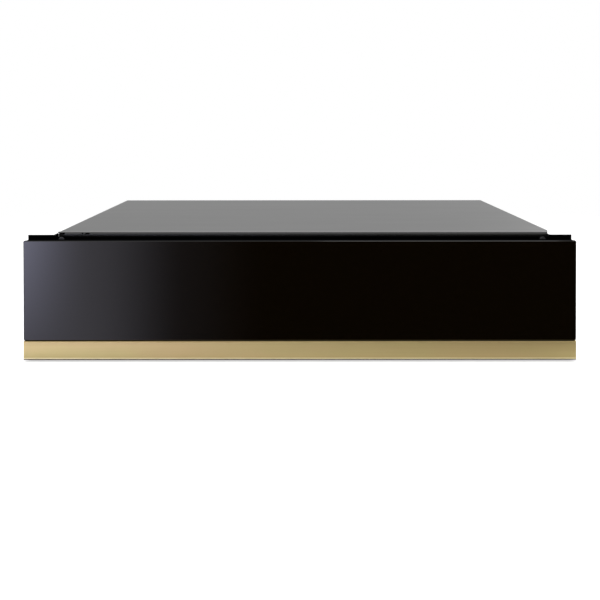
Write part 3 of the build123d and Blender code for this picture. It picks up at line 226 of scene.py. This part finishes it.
glow = floor_sheet.node("Emission", inputs={"Color": (1.0, 1.0, 1.0, 1.0),
                                            "Strength": camera_ray * floor_glow})
lit_floor = floor_sheet.node("AddShader", inputs={0: matt, 1: glow})
through = floor_sheet.node("BsdfTransparent")
shown_floor = floor_sheet.node("MixShader", inputs={0: fade, 1: through, 2: lit_floor})
floor_sheet.node("OutputMaterial", inputs={0: shown_floor})
floor_mesh.materials.append(floor_paint)


# Front glass: one pane of float glass over the front's full width, its edges ground and its back fired with
# black enamel. It is bonded to the carrier, and its polish differs a little where it has been wiped.
class Finish(Sheet):
    """The node tree of a finish, with the place on the drawer at hand."""

    def __init__(self, name):
        self.material = bpy.data.materials.new(name)
        self.material.use_nodes = True
        super().__init__(self.material.node_tree)
        self.place = self.node("TexCoord", output=3)

    def grain(self, scale, detail=2.0, roughness=0.5):
        """Noise from 0 to 1, with so many waves a metre along each axis."""
        stretched = self.node("Mapping", inputs={"Vector": self.place, "Scale": scale})
        return self.node("TexNoise", inputs={"Vector": stretched, "Scale": 1.0, "Detail": detail,
                                             "Roughness": roughness})

    def ribs(self, along, rate):
        """Even ribs from 0 to 1, half of one plus the sine of a length, at so many radians a metre."""
        return 0.5 + 0.5 * self.maths("SINE", along * rate)

    def relief(self, height, strength, distance):
        """The normal over a height from 0 to 1."""
        return self.node("Bump", inputs={"Strength": strength, "Distance": distance, "Height": height})

    def shader(self, **inputs):
        """A Principled BSDF, whose sockets are named in small letters."""
        sockets = {}
        for key, value in inputs.items():
            name = key.replace("_", " ").title().replace("Ior", "IOR")
            sockets[name] = (*value, 1.0) if isinstance(value, tuple) and len(value) == 3 else value
        return self.node("BsdfPrincipled", inputs=sockets)

    def close(self, **inputs):
        """One Principled BSDF as the whole finish."""
        self.node("OutputMaterial", inputs={0: self.shader(**inputs)})
        return self

    def close_mixed(self, mask, first, second):
        """Two shaders as the whole finish, the second where the mask is 1."""
        self.node("OutputMaterial", inputs={0: self.node("MixShader", inputs={0: mask, 1: first, 2: second})})
        return self

    def dress(self, *nodes):
        """Put the finish on the CAD nodes that carry it."""
        for node in nodes:
            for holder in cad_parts[node].material_slots:
                holder.material = self.material


black_glass = Finish("black_glass")
ground_width = 0.2 * mm
pane_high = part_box("front_glass")[1]
across, depth, level = black_glass.xyz(black_glass.place)
wipe = black_glass.grain((9.0, 9.0, 14.0))
ground_edge = level > pane_high.z - ground_width
pane = black_glass.shader(base_color=(0.0024, 0.0014, 0.0007), roughness=0.03 + 0.03 * wipe, ior=1.5)
edge = black_glass.shader(base_color=(0.012, 0.012, 0.012), roughness=0.8, specular_ior_level=0.0)
black_glass.close_mixed(ground_edge, pane, edge)
black_glass.dress("front_glass")

# Front strip: a closed box profile of aluminium under the glass, brushed along its length and anodised in a
# pale gold, its lower edge rounded. Painted shade darkens it right under the glass, a painted highlight
# lies as a light line along the lower edge, and painted shade makes a dark seam below that line.
gold = Finish("gold_anodised")
strip_low, strip_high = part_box("front_strip")
highlight_top, highlight_foot = 2.7 * mm, 2.2 * mm
painted_seam_top, painted_seam_foot = 1.30 * mm, 1.15 * mm
shade_top, shade_foot = 0.8 * mm, 1.8 * mm
across, depth, level = gold.xyz(gold.place)
streak = gold.grain((6.0, 700.0, 700.0), 3.0)
shade = gold.grain((9.0, 30.0, 40.0))
metal = gold.mix(shade.ramp(0.30, 0.70), (0.615, 0.505, 0.229), (0.634, 0.484, 0.236))
metal = gold.mix(streak.ramp(0.20, 0.80) * 0.18, metal, (0.50, 0.38, 0.17))
# Painted highlight: a light gold line along the rounded lower edge.
painted_highlight_line = level.ramp(strip_low.z + highlight_top, strip_low.z + highlight_foot)
metal = gold.mix(painted_highlight_line, metal, (0.97, 0.85, 0.50))
# Painted shade: the strip is darkened right under the glass.
painted_shade_under_glass = level.ramp(strip_high.z - shade_foot, strip_high.z - shade_top)
metal = gold.mix(painted_shade_under_glass * 0.45, metal, (0.30, 0.21, 0.09))
brushed = gold.shader(base_color=metal, metallic=1.0, roughness=0.30 + 0.10 * streak,
                      specular_tint=(0.50, 0.40, 0.25), normal=gold.relief(streak, 0.15, 0.2 * mm))
# Painted shade: a dark brown seam along the bottom edge.
painted_seam_shader = gold.shader(base_color=(0.070, 0.040, 0.014), roughness=0.7, specular_ior_level=0.0)
painted_seam_shade = level.ramp(strip_low.z + painted_seam_top, strip_low.z + painted_seam_foot)
gold.close_mixed(painted_seam_shade, brushed, painted_seam_shader)
gold.dress("front_strip")


# Front carrier, inner panel and front frame: folded steel sheet with a fine black powder coat. The frame's
# wings lie on the cabinet's sides and hide the gap round the housing.
def powder_coat(name, colour):
    """Baked powder: a faint orange peel, and a little more or less colour from place to place."""
    coat = Finish(name)
    skin = coat.grain((900.0,) * 3)
    cloud = coat.grain((14.0,) * 3).ramp(0.3, 0.7)
    thin, thick = (tuple(value * part for value in colour) for part in (0.8, 1.2))
    coat.close(base_color=coat.mix(cloud, thin, thick), roughness=0.60 + 0.08 * cloud,
               specular_ior_level=0.0, normal=coat.relief(skin, 0.12, 0.2 * mm))
    return coat


powder_coat("black_coat", (0.0020, 0.0020, 0.0022)).dress("front_carrier", "front_inner_panel", "front_frame")

# Cross-member: a bar folded from steel sheet between the frame and the cover, powder coated in dark grey.
# The frame's two black screws pass through it.
powder_coat("grey_coat", (0.004, 0.004, 0.0042)).dress("front_crossmember")

# Top cover: one brushed steel sheet, streaked from left to right, with its front edge folded down. The fold
# carries painted shade, dark against the top, and behind it a narrow band carries a painted highlight.
cover_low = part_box("top_cover")[0]
shaded_lip_width, highlight_band_width = 1.6 * mm, 13.0 * mm
cover_steel = Finish("cover_steel")
across, depth, level = cover_steel.xyz(cover_steel.place)
fine = cover_steel.grain((3.0, 260.0, 260.0), 3.0)
broad = cover_steel.grain((7.0, 34.0, 34.0))
# Painted shade: the front fold is coloured dark.
painted_shade_lip = depth < cover_low.y + shaded_lip_width
# Painted highlight: a lighter band just behind the fold.
painted_highlight_band = depth.ramp(cover_low.y + highlight_band_width, cover_low.y + 0.7 * highlight_band_width)
top_metal = cover_steel.mix(fine.ramp(0.25, 0.75) * 0.45 + broad.ramp(0.25, 0.75) * 0.55,
                            (0.224, 0.224, 0.224), (0.254, 0.254, 0.253))
top_metal = cover_steel.mix(0.8 * painted_highlight_band, top_metal, (0.330, 0.330, 0.329))
# The dark colour mixed in here is the fold's painted shade.
cover_steel.close(base_color=cover_steel.mix(painted_shade_lip, top_metal, (0.055, 0.055, 0.055)), metallic=1.0,
                  roughness=0.30 + 0.10 * fine, specular_tint=(0.45, 0.45, 0.45),
                  normal=cover_steel.relief(fine, 0.10, 0.2 * mm))
cover_steel.dress("top_cover")


# Housing shell and rear panel, drawer base, rear wall and front brackets: hot-dip galvanised sheet, bare as
# it comes from the mill, with the zinc's crystals in it. The pieces are folded, then riveted and screwed.
def galvanised(name, crystal, dark, light, low, high):
    """Zinc whose crystals, so many metres across, each have their own shade and gloss."""
    zinc = Finish(name)
    wander = zinc.node("TexNoise", inputs={"Vector": zinc.place, "Scale": 160.0}, output=1)
    offset = zinc.node("VectorMath", {"operation": "SCALE"}, {0: wander, "Scale": 0.5 * crystal})
    bent = zinc.node("VectorMath", {"operation": "ADD"}, {0: zinc.place, 1: offset})
    cells = zinc.node("TexVoronoi", {"feature": "F1"}, {"Vector": bent, "Scale": 1.0 / crystal}, 1)
    shade = zinc.xyz(cells)[0]
    cloud = zinc.grain((7.0,) * 3, 3.0)
    tone = 0.55 * shade + 0.45 * cloud.ramp(0.3, 0.7)
    zinc.close(base_color=zinc.mix(tone, dark, light), metallic=1.0,
               roughness=low + (high - low) * (1.0 - tone), normal=zinc.relief(shade, 0.04, 0.1 * mm))
    return zinc


galvanised("housing_zinc", 9.0 * mm, (0.47, 0.48, 0.49), (0.57, 0.58, 0.585), 0.36, 0.50).dress(
    "housing_shell", "rear_panel")
galvanised("drawer_zinc", 6.0 * mm, (0.50, 0.51, 0.52), (0.60, 0.61, 0.615), 0.34, 0.46).dress(
    "drawer_base", "drawer_rear_wall", "front_brackets")

# Housing fasteners: two black screws in the frame's bar, bright zinc-plated screws in the cover, the shell
# and the rear panel, and rivets of the same finish that hold the outer runners.
screws = Finish("screws")
frame_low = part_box("front_frame")[0]
frame_reach = 3.0 * mm
across, depth, level = screws.xyz(screws.place)
blackened = depth < frame_low.y + frame_reach
turned = screws.grain((900.0,) * 3, 3.0)
zinc_plated = screws.mix(turned, (0.56, 0.57, 0.57), (0.74, 0.74, 0.73))
screws.close(base_color=screws.mix(blackened, zinc_plated, (0.055, 0.055, 0.058)), metallic=1.0,
             roughness=0.24 + 0.16 * turned + 0.12 * blackened)
screws.dress("housing_fasteners")


# Foot pads, stop buffers and pump mounts: moulded black rubber. The pads carry the housing, the buffers on
# the rear panel end the drawer's push-in travel, and the mounts carry the pump.
def moulded(name, colour, roughness, skin, bump=0.12, gloss=0.5):
    """Rubber or plastic from a mould: an even colour under a fine, slightly uneven skin."""
    piece = Finish(name)
    fine = piece.grain((skin,) * 3, 3.0)
    cloud = piece.grain((22.0,) * 3).ramp(0.3, 0.7)
    dull, fresh = (tuple(value * part for value in colour) for part in (0.85, 1.15))
    piece.close(base_color=piece.mix(cloud, dull, fresh), roughness=roughness + 0.10 * (fine - 0.5),
                specular_ior_level=gloss, normal=piece.relief(fine, bump, 0.15 * mm))
    return piece


moulded("black_rubber", (0.016, 0.016, 0.016), 0.66, 1100.0, 0.2, 0.3).dress(
    "foot_pads", "stop_buffers", "pump_mounts")

# Mains inlet: a black moulded socket screwed to the rear panel, with three nickelled blades in its recess.
# The middle blade stands higher than the outer two.
inlet = Finish("mains_inlet")
inlet_low, inlet_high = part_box("mains_inlet")
inlet_middle = (inlet_low + inlet_high) / 2
flange, recess, blade_recess = 3.0 * mm, 13.0 * mm, 3.5 * mm
blade_pitch, blade_half, blade_reach, margin = 7.0 * mm, 1.05 * mm, 4.1 * mm, 0.1 * mm
across, depth, level = inlet.xyz(inlet.place)
in_recess = ((depth > inlet_high.y - flange - recess + margin)
             * (depth < inlet_high.y - flange - blade_recess + margin)
             * (abs(level - inlet_middle.z) < blade_reach))
row = abs(abs(across - inlet_middle.x) - blade_pitch / 2)
blades = in_recess * (abs(row - blade_pitch / 2) < blade_half)
skin = inlet.grain((1400.0,) * 3, 3.0)
inlet.close(base_color=inlet.mix(blades, (0.018, 0.018, 0.019), (0.60, 0.59, 0.56)), metallic=blades,
            roughness=0.42 + 0.10 * (skin - 0.5) - 0.18 * blades,
            normal=inlet.relief(skin, 0.10, 0.15 * mm))
inlet.dress("mains_inlet")

# Push-to-open latch: a glass-filled nylon body on the rear panel, and the acetal plunger that slides in it.
# Both are moulded, the body black and the plunger grey.
moulded("latch_nylon", (0.020, 0.020, 0.021), 0.48, 1600.0).dress("push_latch_body")
moulded("latch_acetal", (0.24, 0.24, 0.23), 0.30, 900.0, 0.05).dress("push_latch_plunger")


# Runners: three roll-formed steel members a side, zinc plated, with the rolls' fine lines along their
# length. The ball cages between them are pressed strip, and the balls are polished.
def drawn(name, dark, light, low, high, waves, bump=0.10, broad_share=0.4):
    """Metal with fine lines along its length, between two shades and two roughnesses."""
    metal = Finish(name)
    lines = metal.grain(waves, 3.0)
    broad = metal.grain(tuple(value / 8.0 for value in waves), 1.0)
    tone = (1.0 - broad_share) * lines.ramp(0.2, 0.8) + broad_share * broad.ramp(0.3, 0.7)
    metal.close(base_color=metal.mix(tone, dark, light), metallic=1.0, roughness=low + (high - low) * lines,
                normal=metal.relief(lines, bump, 0.2 * mm))
    return metal


drawn("runner_steel", (0.50, 0.51, 0.52), (0.66, 0.67, 0.68), 0.22, 0.34, (620.0, 6.0, 620.0)).dress(
    "runner_outer_left", "runner_outer_right", "runner_middle_left", "runner_middle_right",
    "runner_inner_left", "runner_inner_right")
ball_radius, cage_thickness, ball_margin = 1.6 * mm, 1.0 * mm, 0.05 * mm
for cage_node in ("ball_retainers_outer", "ball_retainers_inner"):
    cage = Finish(cage_node)
    cage_low, cage_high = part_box(cage_node)
    cage_middle = (cage_high.z + cage_low.z) / 2
    cage_level = (cage_high.z - cage_low.z) / 2 - ball_radius
    across, depth, level = cage.xyz(cage.place)
    ball = abs(abs(level - cage_middle) - cage_level) > cage_thickness / 2 + ball_margin
    pressed = cage.grain((400.0,) * 3, 3.0)
    strip_metal = cage.mix(pressed, (0.42, 0.41, 0.37), (0.56, 0.54, 0.48))
    cage.close(base_color=cage.mix(ball, strip_metal, (0.80, 0.80, 0.80)), metallic=1.0,
               roughness=0.34 + 0.10 * pressed - 0.26 * ball)
    cage.dress(cage_node)

# Bracket screws, hinge pins, springs, plungers and lift rods: small turned or wound steel pieces. They are
# zinc plated or ground bright.
bright_steel = Finish("bright_steel")
turned = bright_steel.grain((1100.0,) * 3, 3.0)
cloud = bright_steel.grain((90.0,) * 3).ramp(0.3, 0.7)
bright_steel.close(base_color=bright_steel.mix(cloud, (0.60, 0.61, 0.62), (0.76, 0.76, 0.76)),
                   metallic=1.0, roughness=0.16 + 0.12 * turned,
                   normal=bright_steel.relief(turned, 0.04, 0.1 * mm))
bright_steel.dress("bracket_screws", "hinge_pins", "lid_springs", "lift_pistons", "vent_valve_plunger",
                   "pump_valve_plunger")

# Deck plate and hinges: stainless sheet, linished from left to right. The deck is laid on the base's
# flanges, and the hinges' brackets stand on it behind the lid.
drawn("deck_steel", (0.35, 0.35, 0.345), (0.44, 0.44, 0.435), 0.22, 0.34, (5.0, 900.0, 900.0),
      broad_share=0.15).dress("deck_plate")
drawn("hinge_steel", (0.50, 0.50, 0.495), (0.62, 0.62, 0.61), 0.20, 0.30, (12.0, 700.0, 700.0)).dress(
    "hinge_brackets", "hinge_arms")

# Control glass: a strip of black glass with bevelled edges on the deck. It is printed in light grey, with a
# ring for each of the six touch fields and a plain sign in each.
control_low, control_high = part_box("control_glass")
control_middle = (control_low + control_high) / 2
field_count, field_pitch, field_radius = 6, 38.0 * mm, 5.2 * mm
line, print_depth = 0.35 * mm, 0.1 * mm
control = Finish("control_glass")
across, depth, level = control.xyz(control.place)
offset = (across - control_middle.x) / field_pitch + field_count / 2
field = control.maths("FLOOR", offset)
u = (offset - field - 0.5) * field_pitch
v = depth - control_middle.y
on_strip = (field > -0.5) * (field < field_count - 0.5) * (level > control_high.z - print_depth)
radius = control.maths("SQRT", u * u + v * v)
circle = abs(radius - field_radius) < line / 2


def bar(centre_u, centre_v, half_u, half_v):
    """A filled rectangle in a touch field, in millimetres from its centre."""
    return (abs(u - centre_u * mm) < half_u * mm) * (abs(v - centre_v * mm) < half_v * mm)


def in_field(number):
    """1 in the touch field of that number, counted from the left."""
    return abs(field - number) < 0.5


power_radius, power_stroke = 2.4 * mm, 0.5 * mm
power_ring = (abs(radius - power_radius) < power_stroke / 2) * (1.0 - bar(0.0, 2.6, 1.0, 1.6))
power_sign = power_ring + bar(0.0, 2.4, 0.2, 1.4)
first_step, second_step, third_step = (bar(centre, 0.0, 0.5, 1.4) for centre in (-1.8, 0.0, 1.8))
arrow_back, arrow_slope, arrow_reach = -1.4 * mm, 0.62, 1.25 * mm
start_sign = (u > arrow_back) * (abs(v) + arrow_slope * u < arrow_reach)
stop_sign = bar(0.0, 0.0, 1.5, 1.5)
marks = (in_field(0) * power_sign + in_field(1) * first_step + in_field(2) * (first_step + second_step)
         + in_field(3) * (first_step + second_step + third_step) + in_field(4) * start_sign
         + in_field(5) * stop_sign)
print_mask = ((circle + marks) * on_strip).clamped()
wipe = control.grain((12.0, 12.0, 12.0))
control.close(base_color=control.mix(print_mask, (0.0028, 0.0028, 0.0030), (0.42, 0.43, 0.44)),
              roughness=0.03 + 0.04 * wipe, ior=1.5)
control.dress("control_glass")


# Control board: a glass-fibre board under the control glass, green resist over its tracks, with six tinned
# sensor pads that touch the glass.
def resist(finish, fineness, gap):
    """Green resist over tracks, laid like bricks, smaller with more fineness, with a gap between them."""
    return finish.node("TexBrick", {"offset": 0.5}, {"Vector": finish.place, "Scale": fineness,
                                                     "Mortar Size": gap,
                                                     "Color1": (0.020, 0.130, 0.055, 1.0),
                                                     "Color2": (0.014, 0.100, 0.045, 1.0),
                                                     "Mortar": (0.045, 0.200, 0.085, 1.0)})


board = Finish("control_board")
board_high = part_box("control_board")[1]
pad_height = 0.55 * mm
across, depth, level = board.xyz(board.place)
pads = level > board_high.z - pad_height
board.close(base_color=board.mix(pads, resist(board, 160.0, 0.02), (0.62, 0.62, 0.60)), metallic=pads * 0.9,
            roughness=0.34)
board.dress("control_board")

# Vacuum chamber and suction grille: stainless steel. The chamber is deep drawn and satin inside, with the
# draw's soft cloud in it, and the grille is a perforated cap over the port in its floor.
drawn("chamber_steel", (0.47, 0.47, 0.465), (0.55, 0.55, 0.545), 0.26, 0.32, (60.0, 60.0, 60.0), 0.015).dress(
    "chamber_pan", "suction_grille")

# Chamber seal and counter bar: extruded silicone, slightly waxy, the seal grey and the bar brick red. The
# seal lies on the rim, and the bar is pressed into the holder under the lid.
moulded("seal_silicone", (0.12, 0.12, 0.124), 0.52, 600.0, 0.06).dress("chamber_seal")
moulded("bar_silicone", (0.30, 0.070, 0.045), 0.50, 600.0, 0.06).dress("counter_bar")

# Lid: one pane of tempered glass over the chamber, faintly grey-green, with rounded and polished edges.
# Two hinge arms are clamped on its rear edge.
lid = Finish("lid_glass")
lid.close(base_color=(0.70, 0.74, 0.73), roughness=0.015, ior=1.5, transmission_weight=1.0)
lid.dress("lid_glass")

# Sealing bar and counter-bar holder: extruded aluminium, anodised clear, cut to length. The bar stands on
# the two lift rods, and nylon blocks close its ends.
drawn("extruded_aluminium", (0.60, 0.61, 0.62), (0.70, 0.71, 0.72), 0.24, 0.36, (5.0, 560.0, 560.0)).dress(
    "sealing_bar", "counter_bar_holder")
moulded("end_nylon", (0.022, 0.022, 0.023), 0.46, 1500.0).dress("bar_end_blocks")

# Heating band: a flat resistance wire along the sealing bar, laid under brown release tape. The tape's
# glass weave shows through.
heater = Finish("heating_band")
weave_rate = 5200.0
across, depth, level = heater.xyz(heater.place)
crossed = heater.maths("SINE", across * weave_rate) * heater.maths("SINE", depth * weave_rate)
weave = 0.5 + 0.5 * crossed
heater.close(base_color=heater.mix(weave.clamped(), (0.22, 0.12, 0.050), (0.36, 0.22, 0.100)),
             roughness=0.40, normal=heater.relief(weave, 0.25, 0.1 * mm))
heater.dress("heating_band")


# Pump head, end cover, motor case, lift cylinders and valve block: cast or milled aluminium, left bare. The
# castings are tumbled, so their skin is soft and a little blotched.
def cast(name, dark, light, low, high, skin, bump):
    """Bare cast metal: a soft blotch in shade and gloss over a fine rough skin."""
    metal = Finish(name)
    blotch = metal.grain((45.0,) * 3, 4.0, 0.6)
    pores = metal.grain((skin,) * 3, 3.0)
    metal.close(base_color=metal.mix(blotch.ramp(0.3, 0.7), dark, light), metallic=1.0,
                roughness=low + (high - low) * pores, normal=metal.relief(pores, bump, 0.2 * mm))
    return metal


cast("pump_casting", (0.46, 0.47, 0.48), (0.58, 0.59, 0.60), 0.42, 0.58, 700.0, 0.22).dress(
    "motor_case", "pump_head", "pump_end_cover")
cast("milled_aluminium", (0.60, 0.61, 0.62), (0.70, 0.71, 0.72), 0.28, 0.38, 1200.0, 0.06).dress(
    "valve_block", "lift_cylinders")

# Motor stator: a stack of punched steel rings, about 0.7 mm from one to the next. The heads of its
# enamelled copper winding stand out at both ends.
stator = Finish("motor_stator")
stator_low, stator_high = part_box("motor_stator")
head_length, sheet_rate = 12.1 * mm, 9000.0
across, depth, level = stator.xyz(stator.place)
copper = ((across < stator_low.x + head_length) + (across > stator_high.x - head_length)).clamped()
strands = stator.grain((300.0, 900.0, 900.0), 3.0)
winding = stator.mix(strands, (0.42, 0.13, 0.050), (0.64, 0.26, 0.11))
stator_height = copper * strands + (1.0 - copper) * stator.ribs(across, sheet_rate)
stator.close(base_color=stator.mix(copper, (0.24, 0.24, 0.25), winding), metallic=1.0,
             roughness=0.44 - 0.12 * copper, normal=stator.relief(stator_height, 0.25, 0.2 * mm))
stator.dress("motor_stator")

# Pump rotor: a ground steel shaft that carries the motor's laminated armature and the slotted pump rotor,
# and the carbon vanes in its slots.
rotor = Finish("pump_rotor")
rotor_low, rotor_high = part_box("pump_rotor")
rotor_middle = (rotor_low + rotor_high) / 2
pump_length, armature_core = 44.0 * mm, 8.0 * mm
across, depth, level = rotor.xyz(rotor.place)
off_y, off_z = depth - rotor_middle.y, level - rotor_middle.z
armature = (across < rotor_high.x - pump_length) * (off_y * off_y + off_z * off_z > armature_core ** 2)
ground_steel = rotor.grain((60.0, 900.0, 900.0), 3.0)
shaft_metal = rotor.mix(ground_steel, (0.40, 0.40, 0.41), (0.56, 0.56, 0.57))
rotor.close(base_color=rotor.mix(armature, shaft_metal, (0.24, 0.24, 0.25)), metallic=1.0,
            roughness=0.24 + 0.10 * ground_steel + 0.18 * armature,
            normal=rotor.relief(armature * rotor.ribs(across, sheet_rate), 0.2, 0.2 * mm))
rotor.dress("pump_rotor")

# Solenoid coils: wound bobbins moulded over in black nylon. They are seated on the valve block, each round
# its plunger.
moulded("coil_nylon", (0.022, 0.022, 0.024), 0.36, 1300.0, 0.08).dress("solenoid_coils")

# Hoses: formed rubber pieces that join the chamber, the lift cylinders, the valves and the pump, in straight
# runs with bends between them.
moulded("hose_rubber", (0.040, 0.042, 0.045), 0.42, 800.0, 0.10).dress("vacuum_hoses")

# Sealing transformer: a stack of punched steel sheets round a winding that is wrapped in amber tape. The
# tape's turns lie one above the other, about 2 mm apart.
transformer = Finish("transformer")
core_low, core_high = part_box("transformer")
core_middle = (core_low + core_high) / 2
core_leg = (core_high.x - core_low.x) / 6
wrap_margin, turn_rate = 0.4 * mm, 3200.0
across, depth, level = transformer.xyz(transformer.place)
wrapped = ((abs(across - core_middle.x) < 2 * core_leg - wrap_margin)
           * (level > core_low.z + core_leg + wrap_margin) * (level < core_high.z - core_leg - wrap_margin))
turns = transformer.ribs(level, turn_rate)
tape = transformer.mix(turns, (0.46, 0.22, 0.030), (0.56, 0.30, 0.050))
transformer_height = wrapped * turns + (1.0 - wrapped) * transformer.ribs(depth, sheet_rate)
transformer.close(base_color=transformer.mix(wrapped, (0.20, 0.20, 0.21), tape), metallic=1.0 - wrapped,
                  roughness=0.48 - 0.20 * wrapped,
                  normal=transformer.relief(transformer_height, 0.2, 0.2 * mm))
transformer.dress("transformer")


# Power board: a glass-fibre board on four pillars. Its tall parts are three sleeved capacitors, a comb of
# bare aluminium, a blue relay and a cream plug socket.
def between(place, low, high):
    """1 where a place lies between two others."""
    return (place > low) * (place < high)


power_board = Finish("power_board")
power_low, power_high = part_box("power_board")
power_width = power_high.x - power_low.x
pillar_height, sheet_thickness, seat_margin = 8.0 * mm, 1.6 * mm, 0.05 * mm
can_start, can_pitch, can_row, can_sleeve = 12.0 * mm, 20.0 * mm, 20.0 * mm, 7.0 * mm
can_end, can_back = 72.0 * mm, 29.0 * mm
comb_front, comb_back, comb_end = 43.9 * mm, 62.1 * mm, 70.1 * mm
relay_back, relay_reach = 30.1 * mm, 34.1 * mm
socket_front, socket_back, socket_reach = 49.9 * mm, 60.1 * mm, 36.1 * mm
across, depth, level = power_board.xyz(power_board.place)
east, north, up = across - power_low.x, depth - power_low.y, level - power_low.z
above = up > pillar_height + sheet_thickness + seat_margin
pillars = up < pillar_height - seat_margin
can_number = (east - can_start) / can_pitch
can_u = (can_number - power_board.maths("FLOOR", can_number) - 0.5) * can_pitch
can_v = north - can_row
cans = above * (north < can_back) * (east < can_end)
can_tops = cans * (can_u * can_u + can_v * can_v < can_sleeve * can_sleeve)
comb = above * between(north, comb_front, comb_back) * (east < comb_end)
relay = above * (north < relay_back) * (east > power_width - relay_reach)
socket = above * between(north, socket_front, socket_back) * (east > power_width - socket_reach)
skin = power_board.mix(cans, resist(power_board, 90.0, 0.03), (0.010, 0.014, 0.030))
skin = power_board.mix((can_tops + comb).clamped(), skin, (0.64, 0.65, 0.66))
skin = power_board.mix(relay, skin, (0.015, 0.060, 0.280))
skin = power_board.mix(socket, skin, (0.72, 0.68, 0.56))
skin = power_board.mix(pillars, skin, (0.62, 0.50, 0.24))
power_board.close(base_color=skin, metallic=(can_tops + comb + pillars).clamped() * 0.95,
                  roughness=0.36 + 0.06 * power_board.grain((700.0,) * 3))
power_board.dress("power_board")

# Cooling fan: a moulded frame in front of the rear wall's grille, and the bladed rotor on its hub. Both are
# of the same black plastic.
moulded("fan_plastic", (0.020, 0.020, 0.021), 0.44, 1700.0).dress("fan_frame", "fan_rotor")
